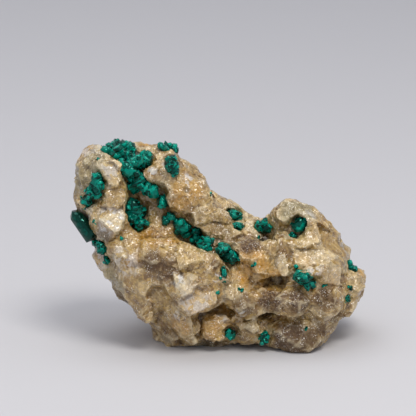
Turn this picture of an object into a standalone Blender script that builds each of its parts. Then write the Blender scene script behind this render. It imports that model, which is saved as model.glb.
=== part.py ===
"""Dioptase crystals on a broken mass of calcite, a hand specimen about 81 mm wide.

The calcite is one solid: cleavage rhombs, slabs and worn lumps grown together round a
core, cut flat where the specimen rests. Each dioptase group sits in its own socket.
+X is to the right of the front, +Y away from it, +Z up; the origin is under the middle.
"""

import math
import random

import bmesh
import bpy
from mathutils import Euler, Matrix, Vector
from mathutils.bvhtree import BVHTree

MM = 0.001

# The front view that the blocks and crystals are placed in looks down by this much.
VIEW_TILT = math.radians(15)

# Calcite cleaves into rhombs whose edges meet at this angle.
CLEAVAGE_ANGLE = math.radians(102)

# A crystal's end faces fall from the tip by this much of their distance from the axis.
END_STEEPNESS = 0.9

# A crystal that stands with others: its length and how deep it sits, in its radii, and
# how much its axis follows the rock's normal, the way to the viewer and chance.
SHORT_LENGTH = 2.7
SHORT_SINK = 0.1
AXIS_MIX = (0.6, 0.5, 0.5)

# Clearance between a dioptase group and the socket it sits in. Neighbouring crystals of
# a group share a socket, at most this many of them.
SEAT_GAP = 0.32
SOCKET_SHARE = 4

# A crystal past the rock's outline is centred at most this many radii off the rock.
MOST_OFF = 0.55

# The blocks are fused on a grid this fine, and the rock then keeps about this many
# triangles: those of its facets, which are flat, go first.
FUSE_GRID = 0.6
ROCK_TRIANGLES = 4000

# A ray towards the rock starts this far out, and the cut under the feet is this wide.
REACH = 200.0

# What is below this height is cut away, so that the specimen rests on flat feet.
BASE_DROP = 30.0

# Core lumps and worn lumps: how many points each has, and how far they stray.
CORE_POINTS, CORE_ROUGH = 28, 0.06
LUMP_POINTS, LUMP_ROUGH = 22, 0.13

# How many corners a rhomb of the front has lost, and at what share of their reach.
CHIPS = 4
CHIP_AT = (0.68, 0.9)

# A block that reaches past the outline by more than LEAST_PAST is broken off there by
# two faces. They meet on the outline, at this share of the block's depth, and fall away
# from it by an angle in BREAK_LEAN, in degrees.
LEAST_PAST = 0.15
BREAK_AT = (0.35, 0.65)
BREAK_LEAN = (12, 34)
MOST_BREAKS = 7

# Blocks of the unseen sides: how many, the azimuths and the part of the view that they
# are seen in, their sizes, turns and chipped corners, and how deep they sit.
BACK_BLOCKS = 24
BACK_AZIMUTHS = (100, 260)
BACK_ACROSS = (-38, 38)
BACK_UP = (3, 46)
BACK_SIZE = (8.0, 13.0)
BACK_TURN = (-35, 35)
BACK_CHIPS = 2
BACK_SINK = 0.3

# The first seed of each kind of shape.
CORE_SEED, RHOMB_SEED, LUMP_SEED, GROUP_SEED, BACK_SEED = 100, 200, 300, 500, 11

# The rock's outline in the front view, clockwise from its left tip: across and up in mm.
# Below the feet it runs lower than the floor, which makes the cut there.
OUTLINE = [
    (-38.6, 35.6),
    (-39.3, 37.8),
    (-38.7, 41.3),
    (-38.8, 44.6),
    (-37.8, 48.5),
    (-36.2, 51.2),
    (-34.0, 53.2),
    (-30.9, 53.9),
    (-26.0, 53.6),
    (-20.8, 53.2),
    (-16.0, 52.8),
    (-12.0, 52.0),
    (-10.0, 50.6),
    (-8.6, 48.2),
    (-6.4, 46.8),
    (-3.4, 44.4),
    (-1.5, 40.2),
    (1.3, 39.1),
    (5.1, 37.7),
    (7.6, 36.4),
    (8.7, 34.4),
    (10.9, 34.4),
    (15.9, 36.1),
    (17.8, 38.0),
    (19.2, 38.3),
    (25.5, 36.1),
    (27.7, 33.9),
    (31.1, 31.7),
    (33.5, 27.0),
    (35.8, 24.0),
    (35.4, 21.2),
    (39.9, 19.0),
    (40.4, 15.4),
    (39.9, 12.1),
    (37.7, 8.8),
    (33.8, 6.3),
    (31.6, 4.4),
    (30.8, 1.1),
    (28.3, -2.2),
    (26.0, -12.0),
    (-14.0, -12.0),
    (-16.3, -0.5),
    (-18.5, 2.8),
    (-22.4, 7.7),
    (-26.8, 11.6),
    (-30.7, 16.5),
    (-34.0, 21.5),
    (-35.4, 26.5),
    (-35.6, 29.6),
    (-36.8, 32.8),
]


# Core lumps: name, across, up, depth, (width, depth, height), all in mm.
CORE = [
    ("dome core", -24.5, 42.5, 5.0, (26, 25, 23)),
    ("neck core", -17.0, 31.0, 5.0, (37, 28, 26)),
    ("left core", -15.0, 18.0, 3.0, (38, 30, 32)),
    ("middle core", 3.0, 17.0, 5.0, (38, 31, 30)),
    ("right core", 23.0, 20.5, 6.0, (31, 28, 27)),
    ("edge core", 35.0, 13.5, 5.0, (11, 17, 17)),
    ("right foot core", 21.0, 3.0, -3.0, (25, 24, 16)),
    ("left foot core", -10.5, 4.0, 2.0, (14, 20, 20)),
    ("back foot core", 2.0, 9.0, 15.0, (34, 14, 16)),
]

# Rhombs and slabs: name, across, up, depth, (width, depth, height), turn in degrees.
RHOMBS = [
    ("dome front", -29.0, 45.5, -5.5, (9, 8, 8.5), (12, 18, 32)),
    ("dome low", -29.5, 39.5, -5.5, (11, 9, 7.5), (-14, 12, -20)),
    ("left step", -34.2, 34.5, -1.0, (11, 10, 3.8), (10, 20, 14)),
    ("left step foot", -30.5, 31.0, 0.0, (9, 10, 8), (6, 10, -20)),
    ("white rhomb", -29.0, 31.5, -8.5, (8, 8, 8.5), (24, -22, 40)),
    ("grey step", -25.5, 29.5, -6.5, (7.5, 8, 6), (8, 6, -24)),
    ("ridge slab", -15.5, 46.0, -2.5, (5.5, 10, 13), (-10, 30, 18)),
    ("ridge face", -18.5, 44.5, -3.5, (8, 7, 9), (14, 26, -30)),
    ("shoulder face", -8.0, 42.5, 1.0, (13, 14, 10), (8, 34, -18)),
    ("tan face", -9.5, 38.0, -2.5, (14, 12, 9), (-22, 24, 16)),
    ("saddle left", 1.5, 35.5, 5.5, (8, 9, 7), (6, 14, 22)),
    ("saddle right", 6.5, 34.0, 5.5, (7.5, 9, 6.5), (-8, 20, -16)),
    ("grey columns", -6.5, 33.0, -2.5, (8.5, 8, 8), (10, -8, 36)),
    ("upper ledge", 0.5, 31.0, -2.0, (13, 11, 4.5), (16, 14, 12)),
    ("lower ledge", 1.5, 27.0, -6.0, (13, 10, 5), (20, 18, -14)),
    ("orange rim", -18.5, 25.5, -9.5, (19, 11, 5), (14, -4, 6)),
    ("front left", -24.5, 21.0, -9.5, (10, 10, 12), (4, 8, 28)),
    ("front middle", -16.5, 20.0, -12.0, (12, 10, 11), (-6, -10, -14)),
    ("front right", -7.0, 21.0, -11.5, (11, 10, 10), (10, 12, 22)),
    ("cream block", -7.5, 13.5, -12.5, (14, 12, 12), (-8, -14, 18)),
    ("low left face", -21.0, 13.0, -8.5, (13, 11, 12), (6, 38, -12)),
    ("cracked block", -0.5, 18.5, -11.0, (8, 9, 10), (6, -18, -30)),
    ("orange block", 11.0, 21.0, -9.0, (9.5, 10, 11), (-12, -26, 34)),
    ("prism below", -9.0, 5.0, -8.5, (8, 8, 9), (8, 10, -28)),
    ("middle below", 0.5, 3.6, -8.0, (11, 9, 7.5), (-12, 8, 20)),
    ("right below", 8.5, 3.5, -8.0, (9, 9, 8), (14, -16, -18)),
    ("left foot", -11.5, 1.2, -2.0, (10.5, 15, 9), (0, 8, 12)),
    ("low sill", -3.0, 1.6, -4.5, (11, 9, 6), (4, -6, 16)),
    ("peak", 19.0, 34.0, 4.5, (8.5, 9, 7), (10, 36, 20)),
    ("peak right", 25.0, 32.5, 4.0, (10, 11, 8), (-6, 22, -18)),
    ("right ridge", 24.5, 28.5, -1.0, (11, 11, 11), (8, 22, 38)),
    ("lens slab", 22.5, 24.5, -5.0, (16, 10, 6), (-10, 12, 6)),
    ("right shoulder", 30.5, 25.5, 2.0, (10, 13, 10), (6, 34, -16)),
    ("white wedge", 16.0, 21.0, -9.0, (4.5, 6, 7), (-6, 14, 30)),
    ("cream corner", 25.5, 18.5, -8.0, (12, 10, 9), (8, -12, 24)),
    ("right shelf", 32.0, 19.5, -1.0, (9, 11, 8), (-8, 12, -20)),
]

# Worn lumps: name, across, up, depth, (width, depth, height), turn in degrees.
LUMPS = [
    ("dome left", -33.5, 45.5, 0.0, (11, 15, 14), (0, 10, 0)),
    ("dome top", -29.0, 50.0, 1.5, (15, 17, 9), (0, 6, 0)),
    ("dome corner", -36.5, 39.5, -1.5, (6.5, 9, 7), (0, -10, 0)),
    ("crest middle", -20.0, 50.5, 2.5, (13, 14, 8), (0, 4, 0)),
    ("crest right", -12.5, 48.5, 4.0, (10, 13, 10), (0, 20, 0)),
    ("shoulder", -4.0, 39.0, 4.0, (9, 11, 8), (0, 30, 0)),
    ("curved ridge", 9.0, 30.0, -1.5, (8, 8, 8.5), (0, 40, 0)),
    ("granular lump", 8.0, 25.5, -6.5, (9, 9, 7), (0, 10, 0)),
    ("brown band left", 7.5, 11.5, -11.5, (14, 11, 10), (0, 8, 0)),
    ("brown band right", 18.0, 11.0, -11.0, (17, 12, 10), (0, 4, 0)),
    ("brown mass", 27.5, 10.5, -8.0, (14, 12, 11), (0, -8, 0)),
    ("long lump", 15.0, 30.5, -0.5, (9, 9, 6.5), (0, 30, 0)),
    ("right edge upper", 35.5, 16.0, 0.5, (9.5, 13, 10), (0, 10, 0)),
    ("right edge lower", 33.5, 10.5, -1.0, (9, 13, 9), (0, -40, 0)),
    ("lower right block", 21.5, 0.4, -8.3, (18.5, 14.5, 10), (0, 2, 0)),
    ("left slope", -25.5, 15.5, -1.0, (14, 17, 12), (0, 45, 0)),
]

# Crystal groups: name, view azimuth in degrees, depth where no ray lands, crystals.
# A crystal is across, up, radius, and where it isn't short its length, lean and sink.
GROUPS = [
    (
        "upper_crust",
        0,
        1.0,
        [
            (-29.8, 52.0, 1.3),
            (-27.4, 52.2, 1.7),
            (-24.7, 52.2, 1.8),
            (-27.0, 50.0, 1.9),
            (-24.4, 50.0, 2.0),
            (-25.0, 47.6, 1.9),
            (-22.2, 48.7, 2.0),
            (-19.4, 48.9, 2.1),
            (-23.6, 45.3, 1.9),
            (-21.4, 43.4, 1.9),
            (-22.2, 41.4, 1.8),
            (-19.2, 41.4, 1.9),
            (-17.5, 40.0, 1.5),
        ],
    ),
    (
        "left_patch",
        0,
        -4.0,
        [
            (-32.5, 44.0, 1.2),
            (-31.7, 42.1, 1.4),
            (-33.0, 40.6, 1.5),
            (-34.8, 39.6, 1.4),
            (-32.6, 38.8, 1.4),
            (-35.2, 37.6, 1.3),
        ],
    ),
    (
        "lower_pair",
        0,
        -4.0,
        [
            (-22.8, 37.0, 1.7),
            (-24.0, 35.3, 1.6),
            (-21.7, 34.7, 2.0),
            (-22.7, 32.6, 1.9),
            (-20.9, 31.5, 1.8),
        ],
    ),
    ("side_crystal", 0, -4.0, [(-15.2, 37.3, 1.7)]),
    (
        "crest_group",
        0,
        3.0,
        [(-15.0, 52.4, 1.1), (-13.4, 52.6, 1.4), (-11.5, 52.4, 1.4)],
    ),
    (
        "ridge_group",
        0,
        0.0,
        [(-12.6, 48.9, 1.3), (-12.2, 47.2, 1.5), (-11.6, 45.6, 1.3)],
    ),
    ("edge_prism", 0, -5.5, [(-36.2, 31.2, 1.9, 10.0, -50, 0.0)]),
    ("left_edge_group", 0, -4.0, [(-32.9, 25.2, 1.2), (-31.4, 24.8, 1.5)]),
    ("left_edge_bud", 0, -4.0, [(-30.4, 21.5, 0.9, 2.6, 80, 0.2)]),
    (
        "recess_group",
        0,
        -3.0,
        [(-10.6, 31.9, 1.5), (-9.5, 30.1, 1.6), (-8.6, 28.7, 1.2)],
    ),
    ("recess_lath", 0, -3.0, [(-13.7, 33.0, 1.0, 3.6, 40, 0.2)]),
    (
        "string_upper",
        0,
        -6.0,
        [
            (-5.9, 29.2, 1.1),
            (-5.8, 27.5, 1.5),
            (-4.5, 26.3, 1.3),
            (-3.3, 25.0, 1.6),
            (-2.9, 27.2, 1.3),
        ],
    ),
    (
        "string_lower",
        0,
        -8.0,
        [(0.7, 24.8, 1.6), (1.9, 22.9, 1.5), (3.8, 22.3, 1.4)],
    ),
    ("string_bud", 0, -9.0, [(1.7, 18.8, 0.8, 2.8, 84, 0.2)]),
    ("saddle_group", 0, 2.0, [(3.5, 34.0, 1.5), (5.4, 33.4, 1.1)]),
    ("saddle_lath", 0, 0.0, [(5.1, 31.0, 0.9, 3.4, -18, 0.3)]),
    ("cleft_group", 0, 0.0, [(11.4, 31.6, 1.4), (12.7, 30.1, 1.4)]),
    ("right_lobe_crystal", 0, 0.0, [(21.2, 31.2, 1.8, 5.4, 55, 0.5)]),
    ("right_lobe_bud", 0, 0.0, [(19.9, 28.3, 0.9)]),
    (
        "right_pocket_group",
        0,
        -8.0,
        [(21.0, 17.6, 1.5), (22.8, 16.6, 1.7), (24.5, 15.4, 1.5)],
    ),
    ("edge_crystal", 0, 0.0, [(36.2, 20.0, 1.1, 3.4, -10, 0.3)]),
    ("edge_bud", 0, 0.0, [(35.0, 11.3, 0.9)]),
    ("lower_front_crystal", 0, -9.0, [(3.1, 1.8, 1.5)]),
    ("lower_cleft_crystal", 0, -9.0, [(12.2, 0.6, 1.2, 4.0, 84, 0.3)]),
    (
        "back_crust",
        180,
        0.0,
        [
            (20.4, 38.0, 1.7),
            (22.6, 36.8, 1.7),
            (21.0, 35.2, 1.8),
            (23.2, 34.0, 1.6),
        ],
    ),
    (
        "back_string",
        180,
        0.0,
        [(3.6, 24.5, 1.5), (5.6, 23.4, 1.6), (7.4, 22.0, 1.4)],
    ),
    ("back_right_group", 180, 0.0, [(-21.0, 19.5, 1.6), (-22.8, 18.4, 1.4)]),
    ("back_low_crystal", 180, 0.0, [(-8.0, 10.0, 1.5)]),
    ("left_side_crystal", 230, 0.0, [(-6.0, 29.0, 1.6)]),
    ("right_side_crystal", 135, 0.0, [(5.0, 15.0, 1.6)]),
]


def clear_scene():
    for obj in list(bpy.data.objects):
        bpy.data.objects.remove(obj, do_unlink=True)


def view_axes(azimuth):
    """Right, up and away, seen from that far round the specimen and VIEW_TILT above."""
    turn = Matrix.Rotation(math.radians(azimuth), 3, "Z")
    right = turn @ Vector((1, 0, 0))
    up = turn @ Vector((0, math.sin(VIEW_TILT), math.cos(VIEW_TILT)))
    away = turn @ Vector((0, math.cos(VIEW_TILT), -math.sin(VIEW_TILT)))
    return right, up, away


def seen_at(across, up, depth, azimuth=0):
    """The point at that level depth that the view shows at (across, up), in mm."""
    right, upward, away = view_axes(azimuth)
    level = up * math.sin(VIEW_TILT)
    return right * across + upward * up + away * ((depth - level) / math.cos(VIEW_TILT))


def hull_mesh(name, points):
    """A mesh of the convex hull of points, which are in mm."""
    made = bmesh.new()
    for point in points:
        made.verts.new(Vector(point) * MM)
    result = bmesh.ops.convex_hull(made, input=made.verts)
    loose = {v for v in result["geom_interior"] if isinstance(v, bmesh.types.BMVert)}
    bmesh.ops.delete(made, geom=list(loose), context="VERTS")
    bmesh.ops.recalc_face_normals(made, faces=made.faces)
    mesh = bpy.data.meshes.new(name)
    made.to_mesh(mesh)
    made.free()
    return mesh


def new_object(name, mesh):
    obj = bpy.data.objects.new(name, mesh)
    bpy.context.scene.collection.objects.link(obj)
    return obj


def turned(turn):
    return Euler([math.radians(a) for a in turn]).to_matrix()


def lump_points(centre, size, turn, rng, count=LUMP_POINTS, rough=LUMP_ROUGH):
    """A worn lump: points spread evenly over an ellipsoid, each moved in or out."""
    golden = math.pi * (3 - math.sqrt(5))
    spin = turned(turn)
    points = []
    for i in range(count):
        height = 1 - 2 * (i + 0.5) / count
        ring = math.sqrt(1 - height * height)
        way = Vector(
            (ring * math.cos(golden * i), ring * math.sin(golden * i), height)
        )
        reach = 1 + rng.uniform(-rough, rough)
        local = Vector([way[k] * size[k] / 2 * reach for k in range(3)])
        points.append(centre + spin @ local)
    return points


def cut_points(points, normal, on_plane):
    """The corners of a convex solid once a plane has taken off what is past it."""
    made = bmesh.new()
    for point in points:
        made.verts.new(point)
    bmesh.ops.convex_hull(made, input=made.verts)
    bmesh.ops.bisect_plane(
        made,
        geom=made.verts[:] + made.edges[:] + made.faces[:],
        dist=1e-5,
        plane_co=on_plane,
        plane_no=normal,
        clear_outer=True,
    )
    kept = [v.co.copy() for v in made.verts]
    made.free()
    return kept


def rhomb_points(centre, size, turn, rng, chips=CHIPS):
    """A cleavage rhomb with its edges at CLEAVAGE_ANGLE and some corners chipped off."""
    lean = math.cos(CLEAVAGE_ANGLE)
    rise = math.sin(CLEAVAGE_ANGLE)
    side = (lean - lean * lean) / rise
    edges = [
        Vector((1, 0, 0)),
        Vector((lean, rise, 0)),
        Vector((lean, side, math.sqrt(1 - lean * lean - side * side))),
    ]
    spin = turned(turn)
    points = []
    for corner in range(8):
        local = Vector()
        for k in range(3):
            sign = 1 if corner >> k & 1 else -1
            local += edges[k] * (sign * size[k] / 2)
        points.append(centre + spin @ local)
    for _ in range(chips):
        normal = Vector([rng.uniform(-1, 1) for _ in range(3)]).normalized()
        far = max((p - centre).dot(normal) for p in points)
        points = cut_points(points, normal, centre + normal * far * rng.uniform(*CHIP_AT))
    return points


def crystal_points(centre, axis, twist, radius, length):
    """A dioptase crystal: a six-sided prism, each end closed by three rhomb faces.

    The prism's corners end alternately low, on the middle line of an end face, and half
    as far down, where two end faces meet.
    """
    frame = axis.to_track_quat("Z", "Y").to_matrix()
    points = []
    for end in (1, -1):
        points.append(centre + frame @ Vector((0, 0, end * length / 2)))
        for i in range(6):
            angle = twist + i * math.pi / 3
            low = (i % 2 == 0) == (end == 1)
            drop = END_STEEPNESS * radius * (1.0 if low else 0.5)
            height = end * (length / 2 - drop)
            corner = Vector((radius * math.cos(angle), radius * math.sin(angle), height))
            points.append(centre + frame @ corner)
    return points


def inside_outline(across, up):
    """Whether a point of the front view is in OUTLINE: a ray from it crosses it oddly."""
    inside = False
    for (x0, y0), (x1, y1) in zip(OUTLINE, OUTLINE[1:] + OUTLINE[:1]):
        if (y0 > up) != (y1 > up) and across < x0 + (up - y0) * (x1 - x0) / (y1 - y0):
            inside = not inside
    return inside


def nearest_side(across, up):
    """The side of OUTLINE nearest a point: its distance, a corner and its outward way."""
    here = Vector((across, up))
    found = []
    for first, second in zip(OUTLINE, OUTLINE[1:] + OUTLINE[:1]):
        start = Vector(first)
        side = Vector(second) - start
        share = max(0.0, min(1.0, (here - start).dot(side) / side.length_squared))
        gap = (here - start - side * share).length
        found.append((gap, start, Vector((-side.y, side.x)).normalized()))
    return min(found, key=lambda row: row[0])


def within_outline(points, rng):
    """The corners of a block, broken off wherever it would show past OUTLINE."""
    right, upward, away = view_axes(0)
    for _ in range(MOST_BREAKS):
        seen = [(point.dot(right), point.dot(upward)) for point in points]
        past = [nearest_side(*place) for place in seen if not inside_outline(*place)]
        gap, corner, outward = max(past, key=lambda row: row[0], default=(0, None, None))
        if gap < LEAST_PAST:
            break
        depths = [point.dot(away) for point in points]
        middle = min(depths) + (max(depths) - min(depths)) * rng.uniform(*BREAK_AT)
        edge = right * corner.x + upward * corner.y + away * middle
        flat = right * outward.x + upward * outward.y
        for way in (-1, 1):
            lean = math.radians(rng.uniform(*BREAK_LEAN))
            normal = flat * math.cos(lean) + away * (way * math.sin(lean))
            points = cut_points(points, normal, edge)
    return points


def evaluated_mesh(obj):
    graph = bpy.context.evaluated_depsgraph_get()
    graph.update()
    return bpy.data.meshes.new_from_object(obj.evaluated_get(graph))


def combined(name, meshes, operation="UNION", base=None):
    """The Boolean of base, or of the first mesh, with each of the others in turn.

    The solver is MANIFOLD, because EXACT leaves open edges where many blocks cross.
    """
    meshes = list(meshes)
    mesh = base or meshes.pop(0)
    for other in meshes:
        obj = new_object(name, mesh)
        helper = new_object(name + " operand", other)
        step = obj.modifiers.new("join", "BOOLEAN")
        step.operation = operation
        step.object = helper
        step.solver = "MANIFOLD"
        mesh = evaluated_mesh(obj)
        bpy.data.objects.remove(obj, do_unlink=True)
        bpy.data.objects.remove(helper, do_unlink=True)
    return mesh


def modified(mesh, kind, **settings):
    """The mesh once a modifier of that kind has changed it."""
    obj = new_object(mesh.name, mesh)
    step = obj.modifiers.new("step", kind)
    for name, value in settings.items():
        setattr(step, name, value)
    made = evaluated_mesh(obj)
    bpy.data.objects.remove(obj, do_unlink=True)
    return made


def triangle_count(mesh):
    return sum(len(face.vertices) - 2 for face in mesh.polygons)


def fused(meshes):
    """One closed skin round the blocks, thinned to ROCK_TRIANGLES."""
    made = bmesh.new()
    for mesh in meshes:
        made.from_mesh(mesh)
    loose = bpy.data.meshes.new("blocks")
    made.to_mesh(loose)
    made.free()
    skin = modified(loose, "REMESH", mode="VOXEL", voxel_size=FUSE_GRID * MM)
    skin = parts_of(skin)[0]
    return modified(skin, "DECIMATE", ratio=ROCK_TRIANGLES / triangle_count(skin))


def parts_of(mesh):
    """The connected parts of a mesh, the biggest first, each a mesh of its own."""
    whole = bmesh.new()
    whole.from_mesh(mesh)
    left = set(whole.verts)
    found = []
    while left:
        stack = [left.pop()]
        part = set(stack)
        while stack:
            for edge in stack.pop().link_edges:
                for vert in edge.verts:
                    if vert in left:
                        left.discard(vert)
                        part.add(vert)
                        stack.append(vert)
        found.append({vert.index for vert in part})
    whole.free()
    found.sort(key=lambda part: (-len(part), min(part)))
    return [part_mesh(mesh, part) for part in found]


def part_mesh(mesh, kept):
    """A copy of mesh with only the vertices whose numbers are in kept."""
    made = bmesh.new()
    made.from_mesh(mesh)
    others = [vert for vert in made.verts if vert.index not in kept]
    bmesh.ops.delete(made, geom=others, context="VERTS")
    part = bpy.data.meshes.new(mesh.name)
    made.to_mesh(part)
    made.free()
    return part


def rock_blocks():
    """The hulls of all the lumps and rhombs, each from its own seed."""
    blocks = []
    for index, (name, across, up, depth, size) in enumerate(CORE):
        rng = random.Random(CORE_SEED + index)
        centre = seen_at(across, up, depth)
        points = lump_points(centre, size, (0, 0, 0), rng, CORE_POINTS, CORE_ROUGH)
        blocks.append((name, points, rng))
    for index, (name, across, up, depth, size, turn) in enumerate(RHOMBS):
        rng = random.Random(RHOMB_SEED + index)
        centre = seen_at(across, up, depth)
        blocks.append((name, rhomb_points(centre, size, turn, rng), rng))
    for index, (name, across, up, depth, size, turn) in enumerate(LUMPS):
        rng = random.Random(LUMP_SEED + index)
        centre = seen_at(across, up, depth)
        blocks.append((name, lump_points(centre, size, turn, rng), rng))
    return broken_meshes(blocks)


def broken_meshes(blocks):
    """The hull of each block, once it is broken off at the outline."""
    return [hull_mesh(name, within_outline(points, rng)) for name, points, rng in blocks]


def tree_of(meshes):
    made = bmesh.new()
    for mesh in meshes:
        made.from_mesh(mesh)
    tree = BVHTree.FromBMesh(made)
    made.free()
    return tree


def first_hit(tree, across, up, azimuth):
    """Where the view's ray at (across, up) meets the rock in mm, and the normal there."""
    right, upward, away = view_axes(azimuth)
    start = (right * across + upward * up - away * REACH) * MM
    point, normal = tree.ray_cast(start, away)[:2]
    return (point and point / MM), normal


def back_blocks(front):
    """Rhombs over the unseen sides, each where a ray from behind meets the rock."""
    rng = random.Random(BACK_SEED)
    tree = tree_of(front)
    blocks = []
    while len(blocks) < BACK_BLOCKS:
        azimuth = rng.uniform(*BACK_AZIMUTHS)
        across, up = rng.uniform(*BACK_ACROSS), rng.uniform(*BACK_UP)
        hit = first_hit(tree, across, up, azimuth)[0]
        if hit is None:
            continue
        size = [rng.uniform(*BACK_SIZE) for _ in range(3)]
        turn = [rng.uniform(*BACK_TURN) for _ in range(3)]
        centre = hit + view_axes(azimuth)[2] * (min(size) * BACK_SINK)
        points = rhomb_points(centre, size, turn, rng, BACK_CHIPS)
        blocks.append((f"back block {len(blocks)}", points, rng))
    return broken_meshes(blocks)


def seat(tree, across, up, azimuth, depth, radius):
    """Where a crystal sits: the first hit of the view's ray, and the normal there.

    A ray that passes the rock gives the point at that depth, or the point on the way
    from there to the rock that is MOST_OFF radii from it.
    """
    point, normal = first_hit(tree, across, up, azimuth)
    if point is not None:
        return point, normal
    aim = seen_at(across, up, depth, azimuth)
    point, normal = tree.find_nearest(aim * MM)[:2]
    gap = aim - point / MM
    reach = min(gap.length, MOST_OFF * radius)
    return point / MM + gap.normalized() * reach, normal


def group_hulls(tree, azimuth, depth, crystals, rng):
    """For each crystal of a group its own corners and those of its socket."""
    right, upward, away = view_axes(azimuth)
    wider = SEAT_GAP / math.cos(math.pi / 6)
    longer = 2 * SEAT_GAP * math.hypot(1, END_STEEPNESS)
    solids, sockets = [], []
    for across, up, radius, *more in crystals:
        length, lean, sink = more or (radius * SHORT_LENGTH, None, SHORT_SINK)
        point, normal = seat(tree, across, up, azimuth, depth, radius)
        if lean is None:
            stray = Vector([rng.uniform(-1, 1) for _ in range(3)])
            ways = (normal, -away, stray)
            axis = sum((way * share for way, share in zip(ways, AXIS_MIX)), Vector())
            axis.normalize()
        else:
            angle = math.radians(lean)
            axis = right * math.cos(angle) + upward * math.sin(angle)
        centre = point - normal * (sink * radius)
        twist = rng.uniform(0, math.pi / 3)
        solids.append(crystal_points(centre, axis, twist, radius, length))
        sockets.append(
            crystal_points(centre, axis, twist, radius + wider, length + longer)
        )
    return solids, sockets


def material(name, colour, roughness):
    made = bpy.data.materials.new(name)
    made.use_nodes = True
    shader = made.node_tree.nodes["Principled BSDF"]
    shader.inputs["Base Color"].default_value = (*colour, 1)
    shader.inputs["Roughness"].default_value = roughness
    shader.inputs["Metallic"].default_value = 0.0
    made.diffuse_color = (*colour, 1)
    return made


def floor_cutter():
    """A box whose top is the surface that the specimen rests on."""
    half = REACH / 2
    sides = [(x, y) for x in (-half, half) for y in (-half, half)]
    corners = [(x, y, z) for x, y in sides for z in (-BASE_DROP, 0)]
    return hull_mesh("floor cutter", corners)


def dressed(mesh, finish):
    """The mesh with that one material on all its faces."""
    mesh.materials.clear()
    mesh.materials.append(finish)
    return mesh


def centred(objects):
    """Moves the meshes so that the origin is under the middle of the specimen."""
    points = [v.co for obj in objects for v in obj.data.vertices]
    low = [min(p[k] for p in points) for k in range(3)]
    high = [max(p[k] for p in points) for k in range(3)]
    shift = Vector([-(low[0] + high[0]) / 2, -(low[1] + high[1]) / 2, -low[2]])
    for obj in objects:
        obj.data.transform(Matrix.Translation(shift))
    print("moved by", [round(length / MM, 2) for length in shift], "mm")


def crystal_groups(tree, finish):
    """The dioptase objects, one for each run of joined crystals, and the sockets."""
    made, sockets = [], []
    for index, (name, azimuth, depth, crystals) in enumerate(GROUPS):
        rng = random.Random(GROUP_SEED + index)
        solids, holes = group_hulls(tree, azimuth, depth, crystals, rng)
        for first in range(0, len(holes), SOCKET_SHARE):
            shared = sum(holes[first : first + SOCKET_SHARE], [])
            sockets.append(hull_mesh(f"{name} socket {first}", shared))
        joined = combined(name, [hull_mesh(name, points) for points in solids])
        for number, part in enumerate(parts_of(joined), 1):
            suffix = f"_{number}" if number > 1 else ""
            part_name = f"dioptase_{name}{suffix}"
            made.append(new_object(part_name, dressed(part, finish)))
    return made, sockets


def build():
    clear_scene()
    calcite = material("calcite", (0.62, 0.53, 0.38), 0.45)
    dioptase = material("dioptase", (0.0, 0.23, 0.17), 0.15)

    front = rock_blocks()
    rock = fused(front + back_blocks(front))
    rock = combined("rock", [floor_cutter()], "DIFFERENCE", base=rock)
    rock = parts_of(rock)[0]
    crystals, sockets = crystal_groups(tree_of([rock]), dioptase)
    rock = combined("rock", sockets, "DIFFERENCE", base=rock)
    matrix = new_object("calcite_matrix", dressed(parts_of(rock)[0], calcite))
    centred(crystals + [matrix])


build()
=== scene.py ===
"""The looks of a dioptase on calcite specimen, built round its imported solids.

The rock is the matrix's own surface, made fine. Small cleavage blocks are laid on it, the flat faces
that the picture shows are pressed into it, the rest is broken into cleavage faces, and patches stain
it. The dioptase is grown on its solids as clusters of small six-sided crystals.
Lengths are in millimetres in the tables and in metres in the meshes. A place in the picture is
(across, up) in the plane that the camera looks at, measured from the specimen's own origin.
"""

import math

import bpy
import numpy as np
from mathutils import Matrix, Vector
from mathutils.bvhtree import BVHTree


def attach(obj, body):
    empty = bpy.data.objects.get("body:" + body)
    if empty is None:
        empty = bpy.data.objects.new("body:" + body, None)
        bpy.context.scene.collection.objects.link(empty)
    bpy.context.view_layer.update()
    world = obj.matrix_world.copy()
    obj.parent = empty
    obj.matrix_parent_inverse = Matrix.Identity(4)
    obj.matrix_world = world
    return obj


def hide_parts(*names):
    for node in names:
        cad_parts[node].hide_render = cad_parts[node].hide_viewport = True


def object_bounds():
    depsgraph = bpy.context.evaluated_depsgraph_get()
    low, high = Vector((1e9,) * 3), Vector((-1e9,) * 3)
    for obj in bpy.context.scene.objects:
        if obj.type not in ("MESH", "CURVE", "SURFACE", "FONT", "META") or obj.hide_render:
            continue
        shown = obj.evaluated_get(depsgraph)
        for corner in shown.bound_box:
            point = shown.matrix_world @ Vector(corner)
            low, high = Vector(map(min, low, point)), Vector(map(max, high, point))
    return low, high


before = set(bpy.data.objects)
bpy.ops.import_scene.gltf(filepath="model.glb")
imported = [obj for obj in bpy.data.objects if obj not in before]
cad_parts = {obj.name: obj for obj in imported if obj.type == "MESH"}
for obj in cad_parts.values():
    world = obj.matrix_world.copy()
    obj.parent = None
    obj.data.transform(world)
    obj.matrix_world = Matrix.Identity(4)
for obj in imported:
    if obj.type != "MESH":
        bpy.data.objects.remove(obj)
CAD_BOX = [list(corner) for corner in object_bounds()]

MM = 0.001
VIEW_TILT = math.radians(15)  # the camera looks down on the specimen by this much
LOOK = np.array([0.0, math.cos(VIEW_TILT), -math.sin(VIEW_TILT)])
PICTURE_UP = np.array([0.0, math.sin(VIEW_TILT), math.cos(VIEW_TILT)])
PICTURE_RIGHT = np.array([1.0, 0.0, 0.0])
PICTURE_WIDTH = 112.32 * MM  # what the picture shows from side to side
CAMERA_AIM, CAMERA_BACK, CAMERA_SENSOR = (-0.00290, -0.00353, 0.03701), 0.8, 36.0
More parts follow.
